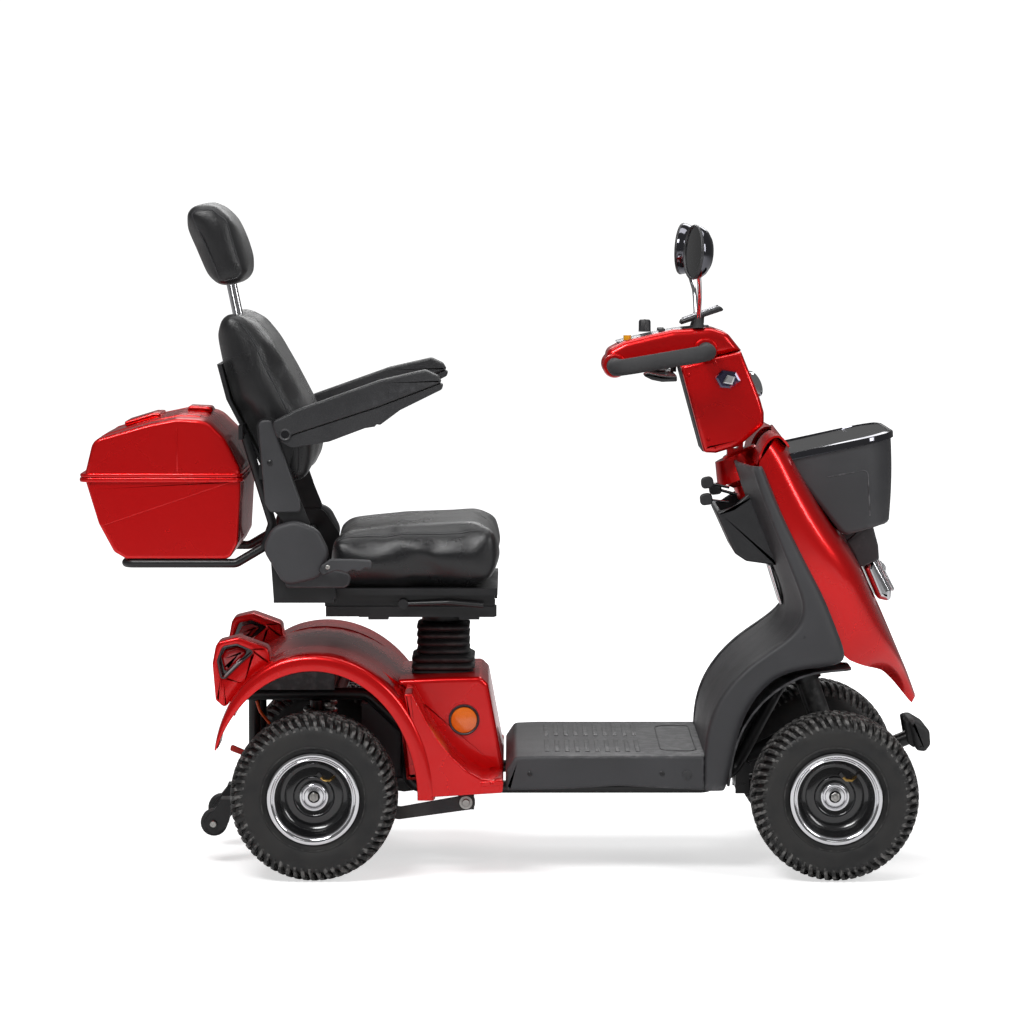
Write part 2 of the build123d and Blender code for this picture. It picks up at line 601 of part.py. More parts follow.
HEAD_HALF = 66.0
HINGE_X, HINGE_Z = 386.0, 1086.0
KNOB_X = 272.0
BUTTON_X, BUTTON_Y = 236.0, -38.0


def tiller_head():
    """Control head above the column, with the handle sockets, button well and screen ears."""
    head = side_piece([(190, 1000, 18), (196, 1030, 16), (229, 1050, 40), (278, 1062),
                       (328, 1073, 60), (405, 1077, 30), (436, 1066, 24), (463, 1031),
                       (348, 1006), (300, 996, 60), (216, 979, 16)], -HEAD_HALF, HEAD_HALF)
    head -= side_piece([(212, 1003, 10), (232, 1043, 30), (330, 1067, 60), (402, 1071, 26),
                        (450, 1031), (346, 1012), (300, 1002, 60)], -HEAD_HALF + 5, HEAD_HALF - 5)
    for sign in (-1, 1):
        for x, z in ((210, 1001), (392, 1032)):
            head += bar_y(x, z, *sorted((sign * 44, sign * 76)), 23)
            head -= bar_y(x, z, *sorted((sign * 46, sign * 90)), HANDLE_RADIUS)
        head += block((HINGE_X - 5, HINGE_X + 5), sorted((sign * 13, sign * 17)), (1073, HINGE_Z + 5))
    head += bar_y(HINGE_X, HINGE_Z, -17, 17, 2.5)
    head -= rod((BUTTON_X, BUTTON_Y, 1030), (BUTTON_X, BUTTON_Y, 1080), 8 + PIECE_GAP)
    head -= rod((KNOB_X, 0, 1040), (KNOB_X, 0, 1080), 3 + RUNNING_GAP)
    head -= rod((LEVER_X, 0, 980), (LEVER_X, 0, 1015), 6 + RUNNING_GAP)
    return head


def handlebar():
    """Two padded loops, one each side of the head."""
    loop = tube([(210, -46, 1001), (210, -205, 1001), (392, -205, 1032), (392, -46, 1032)],
                HANDLE_RADIUS, 42)
    return both_sides(loop)


LEVER_X, LEVER_Z = 330.0, 990.0


def throttle_lever():
    """Wig-wag finger lever under the head; each end lies under one grip."""
    lever = rod((LEVER_X, 0, LEVER_Z - 4), (LEVER_X, 0, 1012), 6)
    lever += block((LEVER_X - 14, LEVER_X + 1), (-150, 150), (LEVER_Z - 12, LEVER_Z - 4))
    for sign in (-1, 1):
        lever += side_piece([(262, 986, 3), (300, 974, 3), (322, 978), (322, 986), (300, 986)],
                            *sorted((sign * 120, sign * 190)))
        lever += block((290, LEVER_X + 1), sorted((sign * 120, sign * 150)), (LEVER_Z - 12, LEVER_Z - 4))
    return lever


def speed_knob():
    return Pos(KNOB_X, 0, 1078) * Cylinder(13, 26) + rod((KNOB_X, 0, 1048), (KNOB_X, 0, 1070), 3)


def horn_button():
    return rod((BUTTON_X, BUTTON_Y, 1036), (BUTTON_X, BUTTON_Y, 1060), 8)


def display():
    """Screen that tilts on a pin over the front of the head."""
    screen = side_piece([(341, 1080, 3), (345, 1092, 3), (424, 1120, 3), (432, 1110, 3)], -38, 38)
    barrel = bar_y(HINGE_X, HINGE_Z, -12, 12, 6)
    barrel += block((HINGE_X - 4, HINGE_X + 4), (-12, 12), (HINGE_Z, HINGE_Z + 14))
    return screen + barrel - bar_y(HINGE_X, HINGE_Z, -20, 20, 2.5 + RUNNING_GAP)


MIRROR_X = 378.0


def mirror_arm(sign):
    """Threaded foot, rubber boot, curved stalk and round mirror."""
    base_y = sign * 55
    foot = rod((MIRROR_X, base_y, 1076.3), (MIRROR_X, base_y, 1104), 12)
    stalk = tube([(MIRROR_X, base_y, 1096), (MIRROR_X, sign * 120, 1150), (370, sign * 236, 1190),
                  (366, sign * 262, 1216)], 5, 20)
    place = Plane(origin=(366, sign * 262, 1230), z_dir=(-1, 0, 0.06))
    head = place * Cylinder(52, 14)
    head += place * Pos(0, 0, -12) * Cone(22, 50, 12)
    return foot + stalk + head


# ---- seat ----
def seat_swivel():
    """Swivel hub on the post and the slide rails it carries."""
    hub = rod((POST_X, 0, SEAT_PLATE_Z - 19.5), (POST_X, 0, SEAT_PLATE_Z), 44)
    hub += rod((POST_X, 0, SEAT_PLATE_Z - 60), (POST_X, 0, SEAT_PLATE_Z - 19.5), SWIVEL_PIN)
    plate = block((-300, -30), (-150, 150), (SEAT_PLATE_Z, SEAT_PLATE_Z + 6))
    rails = group(*[block((-364, -26), sorted((s * 160, s * 196)), (SEAT_PLATE_Z + 6, SEAT_PLATE_Z + 26))
                    for s in (-1, 1)])
    arms = block((-280, -240), (-196, 196), (SEAT_PLATE_Z, SEAT_PLATE_Z + 6))
    arms += block((-100, -60), (-196, 196), (SEAT_PLATE_Z, SEAT_PLATE_Z + 6))
    base = hub + plate + arms
    for solid in rails.solids():
        base += solid
    return base


FRAME_Z = SEAT_PLATE_Z + 26 + PIECE_GAP
ARM_IN, ARM_OUT = 247.0, 253.0


def seat_frame():
    """Sliding pan with the recliner plates and the locking lever's bracket."""
    pan = block((-464, -30), (-200, 200), (FRAME_Z + 12, FRAME_Z + 24))
    pan += block((-352, -24), (-214, 214), (FRAME_Z + 24, 567.7))
    for s in (-1, 1):
        pan += block((-366, -30), sorted((s * 164, s * 192)), (FRAME_Z, FRAME_Z + 12))
        plate = side_piece([(-464, 550), (-340, 550), (-356, 640), (-390, 690, 20), (-440, 690, 20),
                            (-470, 640)], *sorted((s * 240, s * 246)))
        pan += plate - bar_y(RECLINE_X, RECLINE_Z, -260, 260, 8 + RUNNING_GAP)
        pan += block((-464, -345), sorted((s * 196, s * 246)), (FRAME_Z + 12, FRAME_Z + 20))
    return pan


def seat_cushion():
    outline = [(-364, 568, 8), (-364, 672, 16), (-224, 688, 200), (-122, 692), (-39, 697, 14),
               (-12, 684, 16), (-9, 626, 60), (-20, 586, 16), (-40, 572, 10), (-80, 568)]
    return side_piece(outline, -CUSHION_HALF, CUSHION_HALF)


def recliner_covers():
    """Rounded plastic caps outside the recliner plates, with the lower side covers."""
    cap = side_piece([(-484, 652, 30), (-464, 695, 30), (-420, 708, 40), (-375, 690, 30),
                      (-352, 645, 30), (-372, 594, 24), (-440, 578, 24)], 254.3, 284)
    lower = side_piece([(-440, 573, 8), (-318, 573, 12), (-308, 598, 12), (-353, 612),
                        (-440, 612)], 246.3, 262)
    return both_sides(cap + lower - bar_y(RECLINE_X, RECLINE_Z, 240, 261, 8.4))


def recline_lever():
    """Pull-up release lever beside the seat on the rider's right."""
    lever = side_piece([(-368, 600, 4), (-330, 612, 12), (-298, 612), (-270, 618, 4), (-268, 632, 6),
                        (-350, 634, 8)], -300, -288)
    lever += bar_y(-362, 612, -300, -284.3, 9)
    return lever


def slide_lever():
    """Lift-up bar that frees the seat slide."""
    lever = tube([(-210, -206, 536), (-120, -214, 540), (-52, -214, 534)], 5, 30)
    return lever + bar_y(-210, 536, -212, -200.3, 10)


def backrest_frame():
    """Reclining side arms, back pan, armrest pins and the rack behind the backrest."""
    frame = bar_y(RECLINE_X, RECLINE_Z, -260, 260, 8)
    for s in (-1, 1):
        frame += side_piece([(-430, 638, 12), (-398, 630, 12), (-392, 700), (-410, 745, 6),
                             (-432, 812), (-420, 860, 8), (-424, 892, 8), (-464, 906, 6),
                             (-490, 904, 8), (-496, 890), (-478, 740), (-440, 700)],
                            *sorted((s * ARM_IN, s * ARM_OUT)))
        frame += side_piece([(-490, 900, 8), (-466, 904, 6), (-410, 745, 6), (-408, 722, 8),
                             (-469, 722, 8), (-480, 740)], *sorted((s * ARM_OUT, s * 261)))
        frame += bar_y(ARM_X, ARM_Z, *sorted((s * ARM_IN, s * 316)), 9)
    frame += side_piece([(-464.5, 773), (-550.5, 940), (-568.5, 1009), (-577, 1009), (-559, 940),
                         (-473, 773)], -190, 190)
    for x, z in ((-487, 800), (-527, 878)):
        frame += block((x - 4, x + 4), (-ARM_OUT, ARM_OUT), (z - 14, z + 14))
    rack = tube([(-522, -RACK_HALF, 872), (-468, -RACK_HALF, 695), (-484, -RACK_HALF, 650),
                 (-540, -RACK_HALF, 617), (-758, -RACK_HALF, 617), (-758, RACK_HALF, 617),
                 (-540, RACK_HALF, 617), (-484, RACK_HALF, 650), (-468, RACK_HALF, 695),
                 (-522, RACK_HALF, 872)], 9, 18)
    return frame + rack


RACK_HALF = 205.0


def backrest_cushion():
    outline = [(-584, 1098, 16), (-562, 1126, 18), (-522, 1116, 20), (-474, 1058), (-432, 985),
               (-396, 915, 60), (-380, 838, 60), (-394, 776, 20), (-428, 757, 20), (-462, 775),
               (-548, 940), (-566, 1009)]
    cushion = side_piece(outline, -212, 212)
    for y in (-POST_SPREAD, POST_SPREAD):
        cushion -= rod(post_point(-100, y), post_point(40, y), 6.6)
    return cushion


POST_SPREAD = 60.0
POST_LEAN = radians(11.6)


def post_point(along, y):
    """Point on a headrest post, measured up from the top of the backrest."""
    return (-549 - along * sin(POST_LEAN), y, 1108 + along * cos(POST_LEAN))


def headrest_posts():
    bar = bar_y(*post_point(68, 0)[::2], -70, 70, 6)
    for y in (-POST_SPREAD, POST_SPREAD):
        bar += rod(post_point(-96, y), post_point(68, y), 6)
    return bar


def headrest_pad():
    outline = [(-655, 1306, 18), (-640, 1328, 14), (-586, 1334, 30), (-545, 1300, 40), (-524, 1230),
               (-510, 1185, 24), (-528, 1160, 18), (-566, 1150, 16), (-590, 1156, 10)]
    return side_piece(outline, -132, 132)


def armrest(sign):
    """Two-part arm: padded upper shell over a stepped lower shell."""
    y0, y1 = sorted((sign * 262, sign * 318))
    upper = side_piece([(-462, 902, 6), (-412, 926, 20), (-252, 983), (-164, 1003, 10), (-140, 992, 10),
                        (-132, 978), (-258, 930), (-412, 880), (-450, 866, 6)], y0, y1)
    lower = side_piece([(-450, 866), (-424, 851, 10), (-350, 864), (-281, 890, 20), (-252, 896, 10),
                        (-213, 925, 20), (-130, 966, 8), (-132, 977.7), (-258, 929.7),
                        (-412, 879.7)], y0 + 4, y1 - 4)
    hole = bar_y(ARM_X, ARM_Z, -400, 400, 9 + RUNNING_GAP)
    return group(upper - hole, lower - hole)


# ---- cargo box ----
BOX_HALF = 215.0
LID_HINGE_X, LID_HINGE_Z = -844.0, 790.0


def box_base():
    outer = side_piece([(-836, 778), (-810, 696), (-780, 640, 14), (-756, 626, 10), (-552, 626, 14),
                        (-536, 656, 12), (-530, 790)], -BOX_HALF, BOX_HALF)
    outer -= side_piece([(-830, 800), (-830, 778), (-805, 697), (-776, 644, 12), (-755, 630, 8),
                         (-555, 630, 12), (-541, 658, 10), (-535, 800)], -BOX_HALF + 4, BOX_HALF - 4)
    outer -= block((-900, -500), (-300, 300), (787, 900))
    flange = block((-LENGTH / 2, -528), (-BOX_HALF - 8, BOX_HALF + 8), (781, 787))
    flange -= block((-828, -538), (-BOX_HALF + 6, BOX_HALF - 6), (770, 800))
    return outer + flange


def box_lid():
    outline = [(-838, 787.5), (-820, 861, 14), (-708, 893, 60), (-655, 903), (-598, 900, 30),
               (-560, 862, 30), (-532, 806), (-530, 787.5)]
    lid = side_shell(outline, BOX_HALF)
    lid -= block((-833, -535), (-BOX_HALF + 4, BOX_HALF - 4), (780, 796))
    flange = block((-844, -528), (-BOX_HALF - 8, BOX_HALF + 8), (787.3, 793))
    flange -= block((-828, -540), (-BOX_HALF + 6, BOX_HALF - 6), (780, 800))
    return lid + flange + bar_y(LID_HINGE_X, LID_HINGE_Z, -120, 120, 2.7)


def pieces():
    rear, front = REAR_AXLE_X, FRONT_AXLE_X
    made = {
        "main_frame": main_frame(), "batteries": batteries(), "battery_cover": battery_cover(),
        "bellows": bellows(), "rear_tray": rear_tray(), "fenders": fenders(), "lenses": lenses(),
        "dampers": dampers(), "rear_springs": rear_springs(), "front_springs": front_springs(),
        "transaxle": transaxle(), "front_axle": front_axle(), "tie_rod": tie_rod(),
        "anti_tip_wheels": anti_tip_wheels(), "freewheel_lever": freewheel_lever(),
        "freewheel_cable": freewheel_cable(), "foot_deck": foot_deck(), "leg_shield": leg_shield(),
        "front_shroud": front_shroud(), "storage_pocket": storage_pocket(), "headlamp": headlamp(),
        "basket_bracket": basket_bracket(), "basket": basket(), "basket_rim": basket_rim(),
        "bumper_pad": bumper_pad(), "body_screws": body_screws(), "steering_stem": steering_stem(),
        "tiller_column": tiller_column(), "tiller_head": tiller_head(), "handlebar": handlebar(),
        "throttle_lever": throttle_lever(), "speed_knob": speed_knob(), "horn_button": horn_button(),
        "display": display(), "seat_swivel": seat_swivel(), "seat_frame": seat_frame(),
        "seat_cushion": seat_cushion(), "recliner_covers": recliner_covers(),
        "recline_lever": recline_lever(), "slide_lever": slide_lever(),
        "backrest_frame": backrest_frame(), "backrest_cushion": backrest_cushion(),
        "headrest_posts": headrest_posts(), "headrest_pad": headrest_pad(), "box_base": box_base(),
        "box_lid": box_lid(),
    }
    for side, sign in (("left", 1), ("right", -1)):
        made[f"knuckle_{side}"] = knuckle(sign)
        made[f"mirror_{side}"] = mirror_arm(sign)
        made[f"armrest_{side}"] = armrest(sign)
        for end, x in (("front", front), ("rear", rear)):
            made[f"tyre_{end}_{side}"] = tyre(x, sign)
            made[f"rim_{end}_{side}"] = rim(x, sign)
    return made


os.makedirs("parts", exist_ok=True)
for name, shape in pieces().items():
    export_step(shape, f"parts/{name}.step")
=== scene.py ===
"""Looks for the four-wheel mobility scooter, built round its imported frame.

Pieces are given in millimetres. +X points forward, +Y to the rider's left and +Z up.
"""
from math import cos, pi, radians, sin, tan

import bpy
from mathutils import Matrix, Vector


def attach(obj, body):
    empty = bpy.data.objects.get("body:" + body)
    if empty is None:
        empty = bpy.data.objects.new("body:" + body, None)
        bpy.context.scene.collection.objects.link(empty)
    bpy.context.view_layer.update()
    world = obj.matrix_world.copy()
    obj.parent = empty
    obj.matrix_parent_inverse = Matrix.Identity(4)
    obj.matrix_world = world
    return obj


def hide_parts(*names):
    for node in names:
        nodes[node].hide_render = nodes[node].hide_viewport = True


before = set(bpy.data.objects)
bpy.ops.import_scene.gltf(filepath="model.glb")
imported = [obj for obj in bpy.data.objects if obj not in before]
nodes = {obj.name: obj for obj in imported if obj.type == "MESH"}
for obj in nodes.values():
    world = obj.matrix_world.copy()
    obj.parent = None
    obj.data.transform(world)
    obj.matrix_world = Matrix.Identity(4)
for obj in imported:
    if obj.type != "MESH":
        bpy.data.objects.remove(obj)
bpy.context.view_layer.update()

MM = 0.001
AXLE_REAR = (-384.0, 165.0)
AXLE_FRONT = (638.0, 165.0)
WHEEL_OUT = 270.0
HANDS = (("left", 1), ("right", -1))


# ---- hand tools ----
def clear_selection():
    if bpy.context.object and bpy.context.object.mode != "OBJECT":
        bpy.ops.object.mode_set(mode="OBJECT")
    bpy.ops.object.select_all(action="DESELECT")


def pick(*pieces):
    clear_selection()
    for piece in pieces:
        piece.select_set(True)
    bpy.context.view_layer.objects.active = pieces[0]


def close_up(piece):
    """Merges doubled points and turns every face outwards."""
    pick(piece)
    bpy.ops.object.mode_set(mode="EDIT")
    bpy.ops.mesh.select_all(action="SELECT")
    bpy.ops.mesh.remove_doubles(threshold=0.00002)
    bpy.ops.mesh.normals_make_consistent(inside=False)
    bpy.ops.object.mode_set(mode="OBJECT")
    return piece


def work(piece, kind, **values):
    """Adds a modifier with these values and applies it."""
    pick(piece)
    modifier = piece.modifiers.new(kind.lower(), kind)
    for key, value in values.items():
        setattr(modifier, key, value)
    bpy.ops.object.modifier_apply(modifier=modifier.name)
    return piece


def soften(piece, width, segments=3, angle=35):
    return work(piece, "BEVEL", width=width * MM, segments=segments, limit_method="ANGLE",
        angle_limit=radians(angle), harden_normals=False)


def shade(piece, angle=35):
    pick(piece)
    bpy.ops.object.shade_smooth_by_angle(angle=radians(angle))


def join(name, *pieces):
    pick(*pieces)
    bpy.ops.object.join()
    pieces[0].name = name
    return pieces[0]


def placed(piece, place, turn=Matrix()):
    """Turns a piece about its own middle and sets it down at a place."""
    piece.data.transform(Matrix.Translation(Vector(place) * MM) @ turn)
    return piece


# ---- outlines ----
NEARLY_STRAIGHT = 1.5


def rounded(points, steps=5):
    """Outline with its corners rounded: a point may carry a corner radius."""
    corners = [(Vector(p[:2]), p[2] if len(p) > 2 else 0.0) for p in points]
    outline = []
    for index, (here, radius) in enumerate(corners):
        to_last = (corners[index - 1][0] - here).normalized()
        to_next = (corners[(index + 1) % len(corners)][0] - here).normalized()
        half = to_last.angle(to_next) / 2
        if not radius or half > NEARLY_STRAIGHT:
            outline.append(here.copy())
            continue
        room = min((corners[index - 1][0] - here).length,
            (corners[(index + 1) % len(corners)][0] - here).length) * 0.48
        reach = min(radius / tan(half), room)
        centre = here + (to_last + to_next).normalized() * (reach / cos(half))
        first = here + to_last * reach - centre
        last = here + to_next * reach - centre
        turn_by = first.angle_signed(last)
        for step in range(steps + 1):
            outline.append(centre + Matrix.Rotation(-turn_by * step / steps, 2) @ first)
    return outline


def inset(outline, amount):
    """Outline drawn in by this much, or out where it is negative."""
    area = sum(a.cross(b) for a, b in zip(outline, outline[1:] + outline[:1]))
    side = 1 if area > 0 else -1
    drawn = []
    for index, here in enumerate(outline):
        last, following = outline[index - 1], outline[(index + 1) % len(outline)]
        before, after = (here - last).normalized(), (following - here).normalized()
        along = before + after
        if along.length < 1e-6:
            along = before
        along.normalize()
        lean = max(0.5, along.dot(before))
        drawn.append(here + Vector((-along.y, along.x)) * (side * amount / lean))
    return drawn


def span(side, near, far):
    """The two cross-wise places on one side, lower first."""
    return sorted((side * near, side * far))


# ---- forms ----
def skin(name, rings):
    """Surface through rings of (x, y, z) points, closed by a face at each end."""
    clear_selection()
    bpy.ops.mesh.primitive_circle_add(vertices=len(rings[0]), radius=1, fill_type="NGON")
    piece = bpy.context.object
    piece.name = name
    order = {(v.co.x, v.co.y): v.index for v in piece.data.vertices}
    bpy.ops.object.mode_set(mode="EDIT")
    bpy.ops.mesh.select_all(action="SELECT")
    for _ in rings[1:]:
        bpy.ops.mesh.extrude_region_move(TRANSFORM_OT_translate={"value": (0, 0, 1)})
    bpy.ops.object.mode_set(mode="OBJECT")
    for vertex in piece.data.vertices:
        ring = rings[round(vertex.co.z)]
        vertex.co = Vector(ring[order[(vertex.co.x, vertex.co.y)]]) * MM
    return close_up(piece)


def panel(name, outline, low, high, edge=4.0, steps=3, inner=0):
    """Side outline (x, z), or the corner points of one, stretched across with rounded edges."""
    if isinstance(outline[0], tuple):
        outline = rounded(outline)
    levels = [(0.0, edge * 1.35 + 0.4)]
    for step in range(steps + 1):
        turn_by = step / steps * pi / 2
        levels.append((edge * (1 - cos(turn_by)), edge * (1 - sin(turn_by))))
    near = [(low + out, draw) for out, draw in levels]
    far = [(high - out, draw) for out, draw in reversed(levels)]
    width = far[0][0] - near[-1][0]
    middle = [(near[-1][0] + width * (k + 1) / (inner + 1), 0.0) for k in range(inner)]
    rings = []
    for across, draw in near + middle + far:
        rings.append([(p.x, across, p.y) for p in inset(outline, draw)])
    return skin(name, rings)


def sheet(name, rows, thickness, offset=-1.0, smooth=0):
    """Moulded sheet through rows of (x, y, z) points, given a wall."""
    clear_selection()
    wide, deep = len(rows[0]), len(rows)
    bpy.ops.mesh.primitive_grid_add(x_subdivisions=wide - 1, y_subdivisions=deep - 1, size=2)
    piece = bpy.context.object
    piece.name = name
    for vertex in piece.data.vertices:
        column = round((vertex.co.x + 1) / 2 * (wide - 1))
        row = round((vertex.co.y + 1) / 2 * (deep - 1))
        vertex.co = Vector(rows[row][column]) * MM
    piece.data.update()
    if smooth:
        work(piece, "SUBSURF", levels=smooth, render_levels=smooth)
    work(piece, "SOLIDIFY", thickness=thickness * MM, offset=offset, use_even_offset=True)
    return close_up(piece)


def turned(name, section, centre, steps=64, side=1):
    """Closed section of (radius, outboard) points turned about a cross-wise line."""
    clear_selection()
    bpy.ops.mesh.primitive_circle_add(vertices=len(section), fill_type="NOTHING")
    piece = bpy.context.object
    piece.name = name
    middle = Vector(centre) * MM
    for vertex, (radius, out) in zip(piece.data.vertices, section):
        vertex.co = middle + Vector((0, out * side, radius)) * MM
    bpy.ops.object.mode_set(mode="EDIT")
    bpy.ops.mesh.select_all(action="SELECT")
    bpy.ops.mesh.spin(steps=steps, angle=2 * pi, center=middle, axis=(0, 1, 0))
    bpy.ops.object.mode_set(mode="OBJECT")
    return close_up(piece)


def framed(name, outer, hole, low, high):
    """Flat frame between two outlines of as many points, stretched across."""
    clear_selection()
    parts = []
    for outline in (outer, hole):
        bpy.ops.mesh.primitive_circle_add(vertices=len(outline), fill_type="NOTHING")
        loop = bpy.context.object
        for vertex, point in zip(loop.data.vertices, outline):
            vertex.co = Vector((point.x, low, point.y)) * MM
        parts.append(loop)
    piece = join(name, *parts)
    bpy.ops.object.mode_set(mode="EDIT")
    bpy.ops.mesh.select_all(action="SELECT")
    bpy.ops.mesh.bridge_edge_loops()
    bpy.ops.mesh.select_all(action="SELECT")
    bpy.ops.mesh.extrude_region_move(TRANSFORM_OT_translate={"value": (0, (high - low) * MM, 0)})
    bpy.ops.object.mode_set(mode="OBJECT")
    return close_up(piece)


def bead(name, points, radius, cyclic=False, resolution=2):
    """Round bead, tube or piping along points."""
    clear_selection()
    bpy.ops.curve.primitive_nurbs_path_add()
    piece = bpy.context.object
    piece.name = name
    line = piece.data
    line.splines.clear()
    spline = line.splines.new("POLY")
    spline.points.add(len(points) - 1)
    for knot, point in zip(spline.points, points):
        knot.co = (*(Vector(point) * MM), 1)
    spline.use_cyclic_u = cyclic
    line.dimensions = "3D"
    line.bevel_depth = radius * MM
    line.bevel_resolution = resolution
    line.use_fill_caps = True
    pick(piece)
    bpy.ops.object.convert(target="MESH")
    return close_up(bpy.context.object)


def block(name, x, y, z, edge=1.5, segments=2):
    """Small moulded block between two x, two y and two z values."""
    clear_selection()
    size = [abs(b - a) * MM for a, b in (x, y, z)]
    middle = [(a + b) / 2 * MM for a, b in (x, y, z)]
    bpy.ops.mesh.primitive_cube_add(size=1)
    piece = bpy.context.object
    piece.name = name
    piece.data.transform(Matrix.Translation(middle) @ Matrix.Diagonal((*size, 1)))
    return soften(piece, edge, segments, 20)


def screw(name, centre, radius=5.0, side=-1):
    """Round screw head with its cross recess."""
    head = turned(name, [(0, 2.2), (radius * 0.6, 2.0), (radius, 0.6), (radius, -1.5), (0, -1.5)],
        centre, 24, side)
    x, y, z = centre
    bars = [block("bar", (x - radius * a, x + radius * a), sorted((y + side * 1.6, y + side * 2.6)),
        (z - radius * b, z + radius * b), 0.2, 1) for a, b in ((0.6, 0.12), (0.12, 0.6))]
    return join(name, head, *bars)


# ---- finishes ----
def new_group(name, inputs, outputs):
    tree = bpy.data.node_groups.new(name, "ShaderNodeTree")
    for title, value in inputs.items():
        socket = tree.interface.new_socket(title, in_out="INPUT", socket_type="NodeSocketFloat")
        socket.default_value = value
    for title in outputs:
        tree.interface.new_socket(title, in_out="OUTPUT", socket_type="NodeSocketFloat")
    return tree, tree.nodes.new("NodeGroupInput"), tree.nodes.new("NodeGroupOutput")


def math_node(tree, operation, first, second=None):
    node = tree.nodes.new("ShaderNodeMath")
    node.operation = operation
    for socket, value in zip(node.inputs, (first, second)):
        if hasattr(value, "links"):
            tree.links.new(value, socket)
        elif value is not None:
            socket.default_value = value
    return node.outputs[0]


def ranged(tree, value, low, high):
    node = tree.nodes.new("ShaderNodeMapRange")
    node.interpolation_type = "SMOOTHSTEP"
    tree.links.new(value, node.inputs["Value"])
    node.inputs["From Min"].default_value = low
    node.inputs["From Max"].default_value = high
    return node.outputs["Result"]


def edge_wear_group():
    """Rubbed edges: convex edges, broken up by a coarse noise."""
    tree, given, out = new_group("edge_wear", {"Scale": 60.0}, ["Mask"])
    place = tree.nodes.new("ShaderNodeTexCoord")
    shape = tree.nodes.new("ShaderNodeNewGeometry")
    noise = tree.nodes.new("ShaderNodeTexNoise")
    tree.links.new(place.outputs["Object"], noise.inputs["Vector"])
    tree.links.new(given.outputs["Scale"], noise.inputs["Scale"])
    rim = ranged(tree, shape.outputs["Pointiness"], 0.52, 0.62)
    broken = ranged(tree, noise.outputs[0], 0.42, 0.68)
    tree.links.new(math_node(tree, "MULTIPLY", rim, broken), out.inputs["Mask"])
    return tree


def mottle_group():
    """Soft uneven patches, for dust, handling marks and colour drift."""
    tree, given, out = new_group("mottle", {"Scale": 8.0}, ["Mask", "Height"])
    place = tree.nodes.new("ShaderNodeTexCoord")
    broad = tree.nodes.new("ShaderNodeTexNoise")
    broad.inputs["Detail"].default_value = 6.0
    tree.links.new(place.outputs["Object"], broad.inputs["Vector"])
    tree.links.new(given.outputs["Scale"], broad.inputs["Scale"])
    tree.links.new(ranged(tree, broad.outputs[0], 0.3, 0.75), out.inputs["Mask"])
    tree.links.new(broad.outputs[0], out.inputs["Height"])
    return tree


def grain_group():
    """Fine moulded grain: small raised cells with a finer noise over them."""
    tree, given, out = new_group("moulded_grain", {"Scale": 900.0}, ["Mask", "Height"])
    place = tree.nodes.new("ShaderNodeTexCoord")
    cells = tree.nodes.new("ShaderNodeTexVoronoi")
    fine = tree.nodes.new("ShaderNodeTexNoise")
    for node in (cells, fine):
        tree.links.new(place.outputs["Object"], node.inputs["Vector"])
    tree.links.new(given.outputs["Scale"], cells.inputs["Scale"])
    tree.links.new(math_node(tree, "MULTIPLY", given.outputs["Scale"], 1.7), fine.inputs["Scale"])
    height = math_node(tree, "ADD", cells.outputs["Distance"],
        math_node(tree, "MULTIPLY", fine.outputs[0], 0.6))
    tree.links.new(height, out.inputs["Height"])
    tree.links.new(ranged(tree, fine.outputs[0], 0.4, 0.7), out.inputs["Mask"])
    return tree


def leather_group():
    """Leather grain: pebbles split by fine creases."""
    tree, given, out = new_group("leather_grain", {"Scale": 420.0}, ["Mask", "Height"])
    place = tree.nodes.new("ShaderNodeTexCoord")
    drift = tree.nodes.new("ShaderNodeTexNoise")
    drift.inputs["Scale"].default_value = 90.0
    cells = tree.nodes.new("ShaderNodeTexVoronoi")
    cells.feature = "DISTANCE_TO_EDGE"
    shift = tree.nodes.new("ShaderNodeVectorMath")
    shift.operation = "MULTIPLY_ADD"
    shift.inputs[1].default_value = (0.004, 0.004, 0.004)
    tree.links.new(place.outputs["Object"], drift.inputs["Vector"])
    tree.links.new(drift.outputs["Color"], shift.inputs[0])
    tree.links.new(place.outputs["Object"], shift.inputs[2])
    tree.links.new(shift.outputs[0], cells.inputs["Vector"])
    tree.links.new(given.outputs["Scale"], cells.inputs["Scale"])
    crease = ranged(tree, cells.outputs["Distance"], 0.0, 0.22)
    tree.links.new(crease, out.inputs["Height"])
    tree.links.new(crease, out.inputs["Mask"])
    return tree


WEAR, MOTTLE = edge_wear_group(), mottle_group()
GRAIN, LEATHER = grain_group(), leather_group()


def effect(tree, group, scale):
    node = tree.nodes.new("ShaderNodeGroup")
    node.node_tree = group
    node.inputs["Scale"].default_value = scale
    return node


